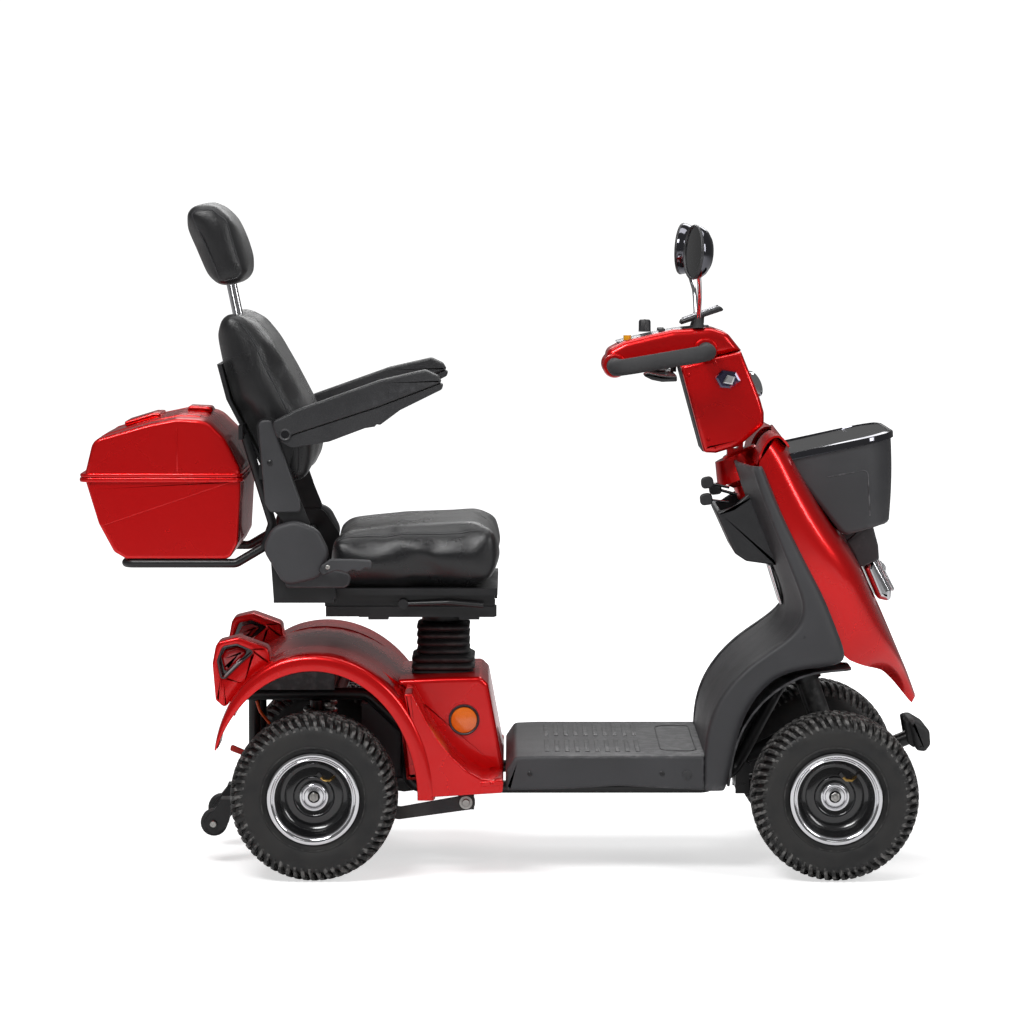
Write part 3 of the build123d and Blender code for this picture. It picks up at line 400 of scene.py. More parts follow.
def finish(name, colour, drift, rough, grain=GRAIN, grain_size=900.0, relief=0.1, patch=8.0,
        rubbed=None, rub_scale=60.0, **sockets):
    """Surface finish.

    colour drifts to drift in soft patches, and rough is its (low, high) roughness.
    """
    material = bpy.data.materials.new(name)
    material.use_nodes = True
    tree = material.node_tree
    shader = tree.nodes["Principled BSDF"]
    uneven = effect(tree, MOTTLE, patch)
    fine = effect(tree, grain, grain_size)
    tint = tree.nodes.new("ShaderNodeMix")
    tint.data_type = "RGBA"
    tint.inputs[6].default_value = (*colour, 1)
    tint.inputs[7].default_value = (*drift, 1)
    tree.links.new(uneven.outputs["Mask"], tint.inputs[0])
    result = tint.outputs[2]
    if rubbed:
        wear = effect(tree, WEAR, rub_scale)
        worn = tree.nodes.new("ShaderNodeMix")
        worn.data_type = "RGBA"
        worn.inputs[7].default_value = (*rubbed, 1)
        tree.links.new(wear.outputs["Mask"], worn.inputs[0])
        tree.links.new(result, worn.inputs[6])
        result = worn.outputs[2]
    tree.links.new(result, shader.inputs["Base Color"])
    spread = tree.nodes.new("ShaderNodeMapRange")
    tree.links.new(uneven.outputs["Mask"], spread.inputs["Value"])
    spread.inputs["To Min"].default_value = rough[0]
    spread.inputs["To Max"].default_value = rough[1]
    tree.links.new(spread.outputs["Result"], shader.inputs["Roughness"])
    bump = tree.nodes.new("ShaderNodeBump")
    bump.inputs["Strength"].default_value = relief
    bump.inputs["Distance"].default_value = 0.0006
    tree.links.new(fine.outputs["Height"], bump.inputs["Height"])
    tree.links.new(bump.outputs["Normal"], shader.inputs["Normal"])
    for title, value in sockets.items():
        shader.inputs[title.replace("_", " ")].default_value = value
    return material


FINISHES = {
    "red_paint": finish("red_paint", (0.74, 0.001, 0.002), (0.64, 0.0005, 0.001), (0.24, 0.32),
                        GRAIN, 2600, 0.03, 5, Metallic=0.6, Coat_Weight=0.45, Coat_Roughness=0.03),
    "black_plastic": finish("black_plastic", (0.022, 0.022, 0.024), (0.03, 0.03, 0.032), (0.34, 0.5),
                            GRAIN, 1100, 0.25, 9, (0.07, 0.07, 0.075)),
    "grained_plastic": finish("grained_plastic", (0.02, 0.02, 0.022), (0.028, 0.028, 0.03),
                              (0.38, 0.52), GRAIN, 480, 0.75, 9, (0.08, 0.08, 0.085)),
    "grey_plastic": finish("grey_plastic", (0.036, 0.036, 0.039), (0.048, 0.048, 0.052), (0.42, 0.58),
                           GRAIN, 1300, 0.22, 6, (0.13, 0.13, 0.135)),
    "frame_paint": finish("frame_paint", (0.009, 0.009, 0.01), (0.014, 0.014, 0.015), (0.28, 0.42),
                          GRAIN, 1600, 0.12, 12),
    "drive_unit": finish("drive_unit", (0.05, 0.05, 0.053), (0.09, 0.085, 0.08), (0.4, 0.62),
                         GRAIN, 700, 0.35, 14, Metallic=0.6),
    "battery_case": finish("battery_case", (0.05, 0.05, 0.056), (0.06, 0.06, 0.066), (0.45, 0.6),
                           GRAIN, 1000, 0.2),
    "soft_rubber": finish("soft_rubber", (0.016, 0.016, 0.017), (0.028, 0.028, 0.029), (0.5, 0.7),
                          GRAIN, 800, 0.3, 10, (0.06, 0.06, 0.06)),
    "foam_grip": finish("foam_grip", (0.035, 0.035, 0.037), (0.05, 0.05, 0.052), (0.75, 0.9),
                        GRAIN, 520, 0.7, 20),
    "tread_rubber": finish("tread_rubber", (0.009, 0.009, 0.0095), (0.022, 0.021, 0.02), (0.46, 0.7),
                           GRAIN, 700, 0.3, 22, (0.16, 0.155, 0.15), 90),
    "alloy": finish("alloy", (0.55, 0.55, 0.57), (0.45, 0.45, 0.47), (0.22, 0.36), GRAIN, 1500, 0.08,
                    12, Metallic=1.0),
    "wheel_black": finish("wheel_black", (0.008, 0.008, 0.009), (0.014, 0.014, 0.015), (0.12, 0.24),
                          GRAIN, 1900, 0.05, 14, Coat_Weight=0.6),
    "chrome_trim": finish("chrome_trim", (0.78, 0.78, 0.8), (0.7, 0.7, 0.72), (0.05, 0.12), GRAIN,
                          2200, 0.02, 9, Metallic=1.0),
    # Chrome with its colour dimmed to 0.16: painted shade for the darker surroundings it reflects, on
    # the basket band and mirror backs.
    "shaded_chrome": finish("shaded_chrome", (0.16, 0.16, 0.18), (0.12, 0.12, 0.135), (0.05, 0.12), GRAIN,
                          2200, 0.02, 9, Metallic=1.0),
    "zinc_steel": finish("zinc_steel", (0.5, 0.49, 0.47), (0.36, 0.35, 0.33), (0.25, 0.45), GRAIN,
                         1300, 0.15, 30, Metallic=1.0),
    "brass": finish("brass", (0.62, 0.4, 0.13), (0.5, 0.3, 0.09), (0.2, 0.36), GRAIN, 1300, 0.1, 30,
                    Metallic=1.0),
    "vinyl": finish("vinyl", (0.009, 0.009, 0.01), (0.013, 0.013, 0.014), (0.26, 0.38), LEATHER, 430,
                    0.22, 7, (0.04, 0.04, 0.045), Sheen_Weight=0.1),
    "piping": finish("piping", (0.02, 0.02, 0.022), (0.03, 0.03, 0.033), (0.35, 0.5), LEATHER, 900,
                     0.3, 20),
    "thread": finish("thread", (0.05, 0.05, 0.053), (0.08, 0.08, 0.084), (0.6, 0.8), GRAIN, 1800, 0.5,
                     60),
    "lens_red": finish("lens_red", (0.3, 0.004, 0.006), (0.2, 0.002, 0.004), (0.06, 0.12), GRAIN, 300,
                       0.25, 20, Coat_Weight=1.0),
    "lens_amber": finish("lens_amber", (0.9, 0.2, 0.01), (0.75, 0.13, 0.006), (0.1, 0.2), GRAIN, 380,
                         0.6, 20, Coat_Weight=1.0),
    "lens_clear": finish("lens_clear", (0.7, 0.71, 0.72), (0.6, 0.6, 0.62), (0.04, 0.1), GRAIN, 240,
                         0.3, 20, Metallic=0.6, Coat_Weight=1.0),
    "lens_smoked": finish("lens_smoked", (0.025, 0.022, 0.05), (0.06, 0.05, 0.12), (0.05, 0.12), GRAIN,
                          200, 0.2, 30, Metallic=0.5, Coat_Weight=1.0),
    # Dark glass; the same finish also serves as painted shade inside the armrest hole.
    "glass_dark": finish("glass_dark", (0.006, 0.006, 0.007), (0.009, 0.009, 0.011), (0.04, 0.09),
                         GRAIN, 2000, 0.02, 8, Coat_Weight=1.0),
    "signal_red": finish("signal_red", (0.6, 0.02, 0.008), (0.5, 0.015, 0.006), (0.3, 0.42), GRAIN,
                         1000, 0.1),
    "signal_orange": finish("signal_orange", (0.75, 0.1, 0.01), (0.6, 0.07, 0.01), (0.35, 0.5), GRAIN,
                            1000, 0.15),
    "signal_yellow": finish("signal_yellow", (0.85, 0.42, 0.01), (0.75, 0.34, 0.01), (0.25, 0.38),
                            GRAIN, 1000, 0.1),
}


def put(piece, body, name, *stood_for, angle=35):
    """Finishes a piece: its look, its shading, the body it moves with and the nodes it stands for."""
    piece.data.materials.clear()
    piece.data.materials.append(FINISHES[name])
    shade(piece, angle)
    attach(piece, body)
    if stood_for:
        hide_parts(*stood_for)
    return piece


# ---- wheels ----
def tyre(name, axle, side, steps=80):
    """Turf tyre: smooth carcass, bead step and staggered slanting lugs."""
    centre = (axle[0], side * WHEEL_OUT, axle[1])
    section = [(78, -46), (90, -51), (97, -57), (108, -62), (124, -64.5), (138, -63.5), (144, -60),
        (145, -56.5), (150.5, -48), (154.5, -36), (156, -20), (156.5, 0), (156, 20), (154.5, 36),
        (150.5, 48), (145, 56.5), (144, 60), (138, 63.5), (124, 64.5), (108, 62), (104, 60.4),
        (103, 61.4), (100.5, 61), (99.5, 58.4), (90, 51), (78, 46), (80, 30), (140, 44), (150, 0),
        (140, -44), (80, -30)]
    carcass = turned(name, section, centre, steps, side)
    rows = ((0.0, 0.0, 14.0, 26.0, 9.8, 60), (20.0, 0.5, 16.0, -24.0, 9.8, 60),
        (-20.0, 0.5, 16.0, 24.0, 9.8, 60))
    lugs = []
    for across, shift, width, slant, deep, count in rows:
        lugs.append(lug_row(centre, across, shift, width, slant, deep, count))
    for out in (-1, 1):
        lugs.append(shoulder_row(centre, out))
    return join(name, carcass, *lugs)


def repeated(lug, centre, count, shift):
    """The lug copied all round the wheel, each copy with its own mesh."""
    middle = Vector(centre) * MM
    copies = [lug]
    start = lug.data.copy()
    for step in range(1, count):
        twin = bpy.data.objects.new("lug", start.copy())
        bpy.context.collection.objects.link(twin)
        around = Matrix.Rotation(2 * pi * (step + shift) / count, 4, "Y")
        twin.data.transform(Matrix.Translation(middle) @ around @ Matrix.Translation(-middle))
        copies.append(twin)
    first = Matrix.Rotation(2 * pi * shift / count, 4, "Y")
    lug.data.transform(Matrix.Translation(middle) @ first @ Matrix.Translation(-middle))
    return join("lugs", *copies)


def lug_row(centre, across, shift, width, slant, deep, count):
    lug = block("lug", (-deep / 2, deep / 2), (-width / 2, width / 2), (153, 164.8), 1.0, 1)
    drop = 0.9 if across else 0.0
    placed(lug, Vector(centre) + Vector((0, across, -drop)), Matrix.Rotation(radians(slant), 4, "Z"))
    return repeated(lug, centre, count, shift)


def shoulder_row(centre, out):
    """Slanting bars that run over the shoulder and down the side wall."""
    path = [(163.2, 31), (162.6, 40), (160.0, 49), (155.0, 57), (148.0, 62.6), (140.5, 64.8)]
    rings = []
    for step, (radius, across) in enumerate(path):
        lean = 0.016 * step
        ring = []
        for round_by, up in ((-0.034, -6.5), (-0.028, 0.6), (0.028, 0.6), (0.034, -6.5)):
            angle = round_by * (1 - 0.07 * step) + lean
            level = radius + up
            ring.append((centre[0] + sin(angle) * level, centre[1] + out * (across + min(up, 0) * 0.3),
                centre[2] + cos(angle) * level))
        rings.append(ring)
    return repeated(skin("lug", rings), centre, 60, 0.25 if out > 0 else 0.75)


def wheel(end, hand, axle, side):
    """Chrome lip, black dish, hub ring with its nut, valve stem and the tyre round them."""
    body = f"wheel_{end}_{hand}"
    centre = (axle[0], side * WHEEL_OUT, axle[1])
    put(tyre(f"tyre_tread_{end}_{hand}", axle, side), body, "tread_rubber", f"tyre_{end}_{hand}")
    lip = turned(f"rim_lip_{end}_{hand}", [(77, 46), (80, 50), (84, 51.5), (89, 52), (90.5, 54),
        (90, 57.5), (87, 58.6), (83.5, 58), (81.5, 55.5), (79.5, 54.5), (78, 55.5), (76, 55), (75, 52),
        (75, 46)], centre, 96, side)
    put(lip, body, "chrome_trim", f"rim_{end}_{hand}")
    dish = turned(f"rim_dish_{end}_{hand}", [(76, 54), (74, 50), (72, 38), (69, 26), (64, 20),
        (58, 18), (51, 20.5), (41, 21), (39, 18), (36, 16.5), (24, 16), (11, 16), (11, -40), (30, -44),
        (30, -14), (68, -14), (70, -56), (88, -57), (88, -52), (76.5, -48), (75, 44)], centre, 96,
        side)
    put(dish, body, "wheel_black")
    ring = turned(f"hub_ring_{end}_{hand}", [(29, 15), (29, 22), (27.5, 24.5), (25, 25), (23.5, 23),
        (22.5, 21), (20, 20.5), (19, 22.5), (18, 24), (12, 24.5), (11, 15)], centre, 64, side)
    put(ring, body, "chrome_trim")
    clear_selection()
    bpy.ops.mesh.primitive_cylinder_add(vertices=6, radius=0.0095, depth=0.008)
    nut = bpy.context.object
    nut.name = f"axle_nut_{end}_{hand}"
    placed(nut, (axle[0], centre[1] + side * 28, axle[1]), Matrix.Rotation(pi / 2, 4, "X"))
    soften(nut, 1.2, 2, 20)
    stud = turned("stud", [(0, 34), (3.6, 34), (4.6, 33), (4.6, 22), (0, 22)], centre, 24, side)
    put(join(nut.name, nut, stud), body, "zinc_steel")
    x, y, z = centre
    stem = bead(f"valve_stem_{end}_{hand}", [(x + 40, y + side * 24, z + 40),
        (x + 37, y + side * 33, z + 38), (x + 31, y + side * 38, z + 34),
        (x + 20, y + side * 40, z + 36), (x + 15, y + side * 39, z + 41)], 2.9, resolution=3)
    put(stem, body, "brass")
    cap = bead(f"valve_cap_{end}_{hand}", [(x + 15, y + side * 39, z + 41),
        (x + 8, y + side * 38, z + 48)], 3.8, resolution=3)
    put(cap, body, "soft_rubber")


for end, axle in (("front", AXLE_FRONT), ("rear", AXLE_REAR)):
    for hand, side in HANDS:
        wheel(end, hand, axle, side)


# ---- upholstery ----
def puffed(piece, cap, voxel=0.006, pressure=4.0):
    """Remeshes a cushion, swells it as cloth and keeps every point within cap metres."""
    work(piece, "REMESH", mode="VOXEL", voxel_size=voxel)
    before = [v.co.copy() for v in piece.data.vertices]
    pick(piece)
    cloth = piece.modifiers.new("cloth", "CLOTH")
    settings = cloth.settings
    settings.use_pressure = True
    settings.uniform_pressure_force = pressure
    settings.effector_weights.gravity = 0.0
    settings.quality = 3
    cloth.collision_settings.use_collision = False
    scene = bpy.context.scene
    for number in range(1, 21):
        scene.frame_set(number)
    bpy.ops.object.modifier_apply(modifier=cloth.name)
    scene.frame_set(1)
    for vertex, start in zip(piece.data.vertices, before):
        moved = vertex.co - start
        if moved.length > cap:
            vertex.co = start + moved.normalized() * cap
    work(piece, "SMOOTH", factor=0.5, iterations=26)
    return work(piece, "SUBSURF", levels=1, render_levels=1)


def laid_on(piece, points, lift=0.0):
    """The points brought to the nearest place on a piece's skin."""
    found = []
    for point in points:
        hit, place, normal, _ = piece.closest_point_on_mesh(Vector(point) * MM)
        found.append((place + normal * (lift * MM)) / MM if hit else Vector(point))
    return found


def stitches(name, path, length=4.2, gap=2.6, radius=0.55):
    """Row of stitches along a path."""
    rows, left, drawn = [], 0.0, True
    start = path[0]
    for first, second in zip(path, path[1:]):
        run = (second - first).length
        at = 0.0
        while run - at > (length if drawn else gap) - left:
            at += (length if drawn else gap) - left
            left = 0.0
            point = first.lerp(second, at / run)
            if drawn:
                rows.append(bead("stitch", [start, point], radius, resolution=0))
            start, drawn = point, not drawn
        left += run - at
    return join(name, *rows)


SEAT = rounded([(-364, 568, 8), (-364, 672, 16), (-224, 688, 200), (-122, 692), (-39, 697, 22),
    (-12, 684, 26), (-9, 626, 60), (-20, 586, 22), (-40, 572, 12), (-80, 568)])
BACKREST = rounded([(-584, 1098, 16), (-562, 1126, 18), (-522, 1116, 20), (-474, 1058), (-432, 985),
    (-396, 915, 60), (-380, 838, 60), (-394, 776, 20), (-428, 757, 20), (-462, 775), (-548, 940),
    (-566, 1009)])
HEADREST = rounded([(-655, 1306, 18), (-640, 1328, 14), (-586, 1334, 30), (-545, 1300, 40),
    (-524, 1230), (-510, 1185, 24), (-528, 1160, 18), (-566, 1150, 16), (-590, 1156, 10)])


def cushion(name, outline, half, draw, edge, cap, body, node):
    pad = panel(name, inset(outline, draw), draw - half, half - draw, edge=edge, steps=4)
    puffed(pad, cap * MM)
    put(pad, body, "vinyl", node, angle=180)
    return pad


seat_pad = cushion("seat_cushion_pad", SEAT, 230, 9, 24, 12, "seat", "seat_cushion")
back_pad = cushion("backrest_pad", BACKREST, 212, 9, 24, 12, "back", "backrest_cushion")
head_pad = cushion("headrest_cushion", HEADREST, 132, 8, 22, 10, "headrest", "headrest_pad")

for hand, side in HANDS:
    top_line = [(x, side * 214, 688 + (x + 364) * 0.028) for x in range(-356, -36, 8)]
    line = laid_on(seat_pad, top_line, -0.2)
    put(bead(f"seat_seam_{hand}", line, 1.5), "seat", "piping")
    row = laid_on(seat_pad, [(x, y - side * 6, z + 3) for x, y, z in top_line], 0.1)
    put(stitches(f"seat_stitches_{hand}", row), "seat", "thread")
    face = [(-522, 1106), (-500, 1066), (-478, 1020), (-452, 965), (-428, 906), (-412, 850),
        (-412, 800), (-424, 768)]
    fine = [Vector(a).lerp(Vector(b), t / 5) for a, b in zip(face, face[1:]) for t in range(5)]
    line = laid_on(back_pad, [(p.x, side * 214, p.y) for p in fine], -0.2)
    put(bead(f"backrest_seam_{hand}", line, 1.5), "back", "piping")
    row = laid_on(back_pad, [(p.x + 7, side * 210, p.y + 2) for p in fine], 0.1)
    put(stitches(f"backrest_stitches_{hand}", row), "back", "thread")
    ring = laid_on(head_pad, [(p.x, side * 131, p.y) for p in inset(HEADREST, 9)], -0.3)
    put(bead(f"headrest_piping_{hand}", ring, 1.9, cyclic=True), "headrest", "piping")


# ---- armrests and recliner ----
def armrest(hand, side):
    low, high = span(side, 262, 318)
    upper = panel(f"armrest_upper_{hand}", [(-462, 902, 10), (-412, 926, 30), (-252, 983, 90),
        (-164, 1003, 14), (-140, 992, 12), (-132, 979, 3), (-258, 931, 20), (-412, 881, 30),
        (-450, 866, 12)], low, high, edge=3.5, steps=4)
    body = f"arm_{hand}"
    put(upper, body, "grained_plastic", f"armrest_{hand}")
    lower = panel(f"armrest_lower_{hand}", [(-447, 866, 3), (-424, 852, 12), (-350, 864, 30),
        (-281, 890, 20), (-262, 893, 3), (-258, 898, 3), (-252, 896, 6), (-213, 925, 26),
        (-130, 966, 8), (-130, 978, 4), (-258, 930), (-412, 880)], low + 4, high - 4, edge=1.2,
        steps=3)
    put(lower, body, "grained_plastic")
    ring = turned(f"armrest_hole_ring_{hand}", [(8, -1), (11.5, -1), (11.5, 0.6), (10.4, 1.4),
        (8, 0.4)], (-436, side * 318, 878), 48, side)
    put(ring, body, "black_plastic")
    # Near-black disc filling the hole ring: painted shade for the inside of the hole.
    well = turned(f"armrest_hole_{hand}", [(0, 0.3), (8, 0.3), (8, -2), (0, -2)],
        (-436, side * 318, 878), 32, side)
    put(well, body, "glass_dark")


def cut(piece, tool):
    """Takes one closed form out of another."""
    work(piece, "BOOLEAN", operation="DIFFERENCE", object=tool, solver="EXACT")
    bpy.data.objects.remove(tool)
    return piece


for hand, side in HANDS:
    armrest(hand, side)
    low, high = span(side, 254.3, 284)
    cap = panel(f"recliner_cap_{hand}", rounded([(-484, 652, 34), (-464, 695, 34), (-420, 708, 44),
        (-375, 690, 34), (-352, 645, 34), (-372, 594, 28), (-440, 578, 28)], 8), low, high, edge=9,
        steps=5)
    put(cap, "seat", "grey_plastic", "recliner_covers", angle=50)
    low, high = span(side, 246.3, 262)
    skirt = panel(f"recliner_skirt_{hand}", [(-440, 573, 8), (-318, 573, 14), (-308, 598, 12),
        (-353, 612, 6), (-440, 612)], low, high, edge=4)
    put(skirt, "seat", "grey_plastic")
    wedge = panel(f"back_bracket_{hand}", [(-492, 903, 12), (-466, 903, 9), (-410, 745, 7),
        (-408, 722, 8), (-469, 722, 8), (-480, 740)], *span(side, 253.2, 263), edge=3.5)
    put(wedge, "back", "grey_plastic")
    put(screw(f"back_bracket_bolt_{hand}", (-468.5, side * 263.4, 819), 6, side), "back", "frame_paint")
handle = panel("recline_handle", [(-368, 600, 6), (-340, 611, 8), (-330, 610, 6), (-318, 606, 8),
    (-306, 613, 6), (-294, 609, 8), (-282, 616, 6), (-270, 614, 5), (-268, 631, 7), (-300, 633, 20),
    (-350, 634, 10), (-369, 620, 8)], -300, -289, edge=3.5)
put(handle, "recline_release", "grey_plastic", "recline_lever")
put(screw("recline_screw", (-355, -300.4, 618), 4.5), "recline_release", "zinc_steel")
boss = turned("recline_boss", [(0, 300.2), (8, 300.2), (9, 298), (9, 285), (0, 285)], (-362, 0, 612),
    40, -1)
put(boss, "recline_release", "black_plastic")


# ---- cargo box ----
BASE = rounded([(-836, 786), (-834, 776, 6), (-810, 696, 20), (-780, 640, 16), (-756, 626, 14),
    (-552, 626, 18), (-536, 656, 16), (-530, 760, 6), (-530, 786)])
LID = rounded([(-838, 788), (-820, 861, 26), (-708, 893, 80), (-655, 903, 40), (-598, 900, 50),
    (-560, 862, 46), (-532, 806, 10), (-530, 788)], 6)


def domed(piece, low, rise, half):
    """Raises the top of a piece towards its middle."""
    for vertex in piece.data.vertices:
        up = max(0.0, min(1.0, (vertex.co.z / MM - low) / 60))
        vertex.co.z += rise * MM * up * cos(min(1.0, abs(vertex.co.y) / MM / half) * pi / 2)


lid = panel("cargo_lid", LID, -215, 215, edge=7, steps=5, inner=10)
domed(lid, 850, 8, 215)
put(lid, "lid", "red_paint", "box_lid", angle=40)
base = panel("cargo_base", BASE, -215, 215, edge=5, steps=5, inner=2)
put(base, "back", "red_paint", "box_base", angle=40)


def rim_outline(low_x, high_x, half, radius):
    return rounded([(low_x, -half, radius), (high_x, -half, radius), (high_x, half, radius),
        (low_x, half, radius)], 6)


def flange(name, outline, low, high, edge):
    """Lip seen from above, with rounded edges."""
    rings = []
    for up, draw in ((0, edge), (edge * 0.3, edge * 0.3), (edge, 0)):
        rings.append([(p.x, p.y, low + up) for p in inset(outline, draw)])
    for up, draw in ((edge, 0), (edge * 0.3, edge * 0.3), (0, edge)):
        rings.append([(p.x, p.y, high - up) for p in inset(outline, draw)])
    return skin(name, rings)


LIP = rim_outline(-848, -524, 223, 22)
put(flange("cargo_base_lip", LIP, 778, 786.9, 2.5), "back", "red_paint")
put(flange("cargo_lid_lip", inset(LIP, 1.0), 787.4, 795, 2.5), "lid", "red_paint")
for hand, side in HANDS:
    low, high = span(side, 213.8, 216.6)
    crease = panel(f"cargo_crease_{hand}", [(-828, 764, 4), (-812, 706, 6), (-806, 690, 5),
        (-552, 776, 4), (-550, 779, 2), (-824, 779, 4)], low, high, edge=1.3)
    put(crease, "back", "red_paint")
    latch = block(f"cargo_lid_seam_{hand}", (-655.8, -653.2), (low, high - 1.0), (797, 884), 0.6)
    put(latch, "lid", "red_paint")
plate = panel("cargo_lid_plate", [(-772, 878, 4), (-700, 899, 6), (-700, 906, 4), (-716, 906, 6),
    (-772, 889, 4)], -64, 64, edge=4)
latch_body = panel("latch", [(-650, 906, 4), (-646, 919, 6), (-600, 917, 8), (-596, 905, 4)], -34, 34,
    edge=4)
put(join("cargo_lid_latch", plate, latch_body), "lid", "red_paint")
for number, across in enumerate((-150, -110, 110, 150)):
    rib = panel(f"cargo_lid_rib_{number}", [(-810, 866, 4), (-708, 897, 30), (-655, 908, 30),
        (-612, 906, 8), (-612, 900), (-708, 889), (-806, 858)], across - 7, across + 7, edge=3)
    put(rib, "lid", "red_paint")


# ---- rear body ----
def arch_point(angle, out, semi=(204.0, 252.0)):
    """Point on the wheel arch at this angle from the front, moved out by a distance."""
    x, z = (semi[0] + out) * cos(angle), (semi[1] + out) * sin(angle)
    return AXLE_REAR[0] + x, AXLE_REAR[1] + z


def fender(hand, side):
    """Flared arch band that rolls over into the deck of the fender."""
    profile = [(0, 332), (1, 334), (5, 334.8), (22, 334.8), (28, 333), (31.5, 328), (33, 318),
        (34.5, 300), (33, 270), (33, 240), (33, 184), (28, 184), (28, 240), (28, 300), (26.5, 318),
        (24, 326), (20, 329), (3, 329)]
    rings = []
    last, first = pi - 0.395, -0.005
    for step in range(61):
        angle = first + (last - first) * step / 60
        narrow = 1.0 if step < 40 else 1.0 - 0.88 * ((step - 40) / 20) ** 1.5
        ring = []
        for out, across in profile:
            x, z = arch_point(angle, out * narrow if across > 325 or out < 28
                else out - 33 * (1 - narrow))
            ring.append((x, side * across, z))
        rings.append(ring)
    band = skin(f"fender_band_{hand}", rings)
    put(band, "chassis", "red_paint", "fenders", angle=50)
    low, high = span(side, 162.4, 330.5)
    sill = panel(f"fender_sill_{hand}", [(-176, 168, 4), (-14, 178, 5), (-12, 200, 5), (-56, 206, 10),
        (-84, 222, 40), (-112, 248, 40), (-140, 282, 40), (-163, 320, 40), (-190, 372, 3),
        (-206, 372, 3), (-192, 300, 40), (-184, 240, 40)], low, high, edge=3, steps=4)
    put(sill, "chassis", "red_paint", angle=45)
    lap = panel(f"sill_tab_{hand}", [(-58, 200, 4), (-56, 190, 4), (-13, 194, 4), (-12, 204, 4)],
        *span(side, 300, 331.8), edge=2)
    put(lap, "chassis", "red_paint")
    put(screw(f"sill_screw_{hand}", (-34, side * 331.8, 197), 4.5, side), "chassis", "red_paint")
    outer = rounded([(-584, 424, 14), (-576, 466, 16), (-534, 476, 20), (-474, 454, 14),
        (-470, 424, 8), (-520, 384, 20), (-560, 336, 8), (-578, 352, 8)])
    hole = rounded([(-572, 430, 9), (-562, 456, 9), (-536, 461, 10), (-508, 449, 8), (-506, 446, 4),
        (-532, 424, 8), (-560, 396, 8), (-566, 398, 4)])
    low, high = span(side, 190, 263)
    housing = framed(f"lamp_housing_{hand}", outer, hole, low, high)
    soften(housing, 4, 3, 30)
    put(housing, "chassis", "red_paint", angle=40)
    bowl = panel(f"lamp_bowl_{hand}", inset(hole, -3), *span(side, 198, 236), edge=1.5)
    put(bowl, "chassis", "glass_dark")
    low, high = span(side, 197, 257)
    bulb = panel(f"lamp_lens_{hand}", [(-568, 436, 9), (-560, 451, 8), (-536, 457, 10), (-512, 448, 8),
        (-536, 424, 6), (-560, 404, 5)], low, high, edge=8, steps=4)
    put(bulb, "chassis", "lens_red", "lenses")
    lower = panel(f"lamp_reverse_{hand}", [(-560, 402, 5), (-538, 424, 5), (-524, 432, 4),
        (-522, 424, 4), (-556, 388, 6), (-564, 394, 4)], low, high, edge=4)
    put(lower, "chassis", "lens_clear")
    trim = bead(f"lamp_trim_{hand}", [(p.x, side * 264, p.y) for p in inset(hole, -1.0)], 1.8,
        cyclic=True)
    put(trim, "chassis", "black_plastic")
    disc = turned(f"side_reflector_{hand}", [(0, 8), (20, 7.6), (25, 6.4), (26.4, 4), (26.4, -2),
        (0, -2)], (-91, side * 164, 300), 64, side)
    put(disc, "chassis", "lens_amber")
    cup = turned(f"reflector_ring_{hand}", [(26.6, -2), (31, -2), (30.6, 5), (28.6, 7), (26.6, 6)],
        (-91, side * 164, 300), 64, side)
    put(cup, "chassis", "black_plastic")


for hand, side in HANDS:
    fender(hand, side)

rows = []
for x, z in ((-575, 372), (-540, 394), (-500, 416), (-450, 438), (-384, 449), (-310, 436), (-250, 400),
        (-212, 368)):
    rows.append([(x, y, z + 4 * (1 - (y / 200) ** 2)) for y in (-200, -140, -70, 0, 70, 140, 200)])
bonnet = sheet("rear_cover", rows, 4, offset=0.0, smooth=1)
put(bonnet, "chassis", "red_paint", angle=60)

cover = panel("battery_cover_shell", [(-206, 178, 4), (-226, 366, 8), (-224, 380, 10), (-140, 384, 60),
    (-58, 386, 14), (-43, 372, 14), (-12, 206, 8), (-13, 178, 4)], -163, 163, edge=8, steps=5)
put(cover, "chassis", "red_paint", "battery_cover", angle=45)


def boot_ring(half_x, half_y, corner, z):
    outline = rounded([(-half_x, -half_y, corner), (half_x, -half_y, corner), (half_x, half_y, corner),
        (-half_x, half_y, corner)], 3)
    return [(-134 + p.x, p.y, z) for p in outline]


rings = [boot_ring(64, 86, 24, 384)]
for fold in range(6):
    low = 388 + fold * 15.8
    grow = 10 if fold < 2 else 0
    for up, out in ((0, -7), (1.5, -3), (4, 0), (8, 0.5), (11, -2.5), (13, -7), (14.6, -9)):
        rings.append(boot_ring(53 + grow + out, 75 + grow + out, 24 + out / 2, low + up))
boot = skin("seat_boot", rings)
put(boot, "chassis", "soft_rubber", "bellows", angle=60)

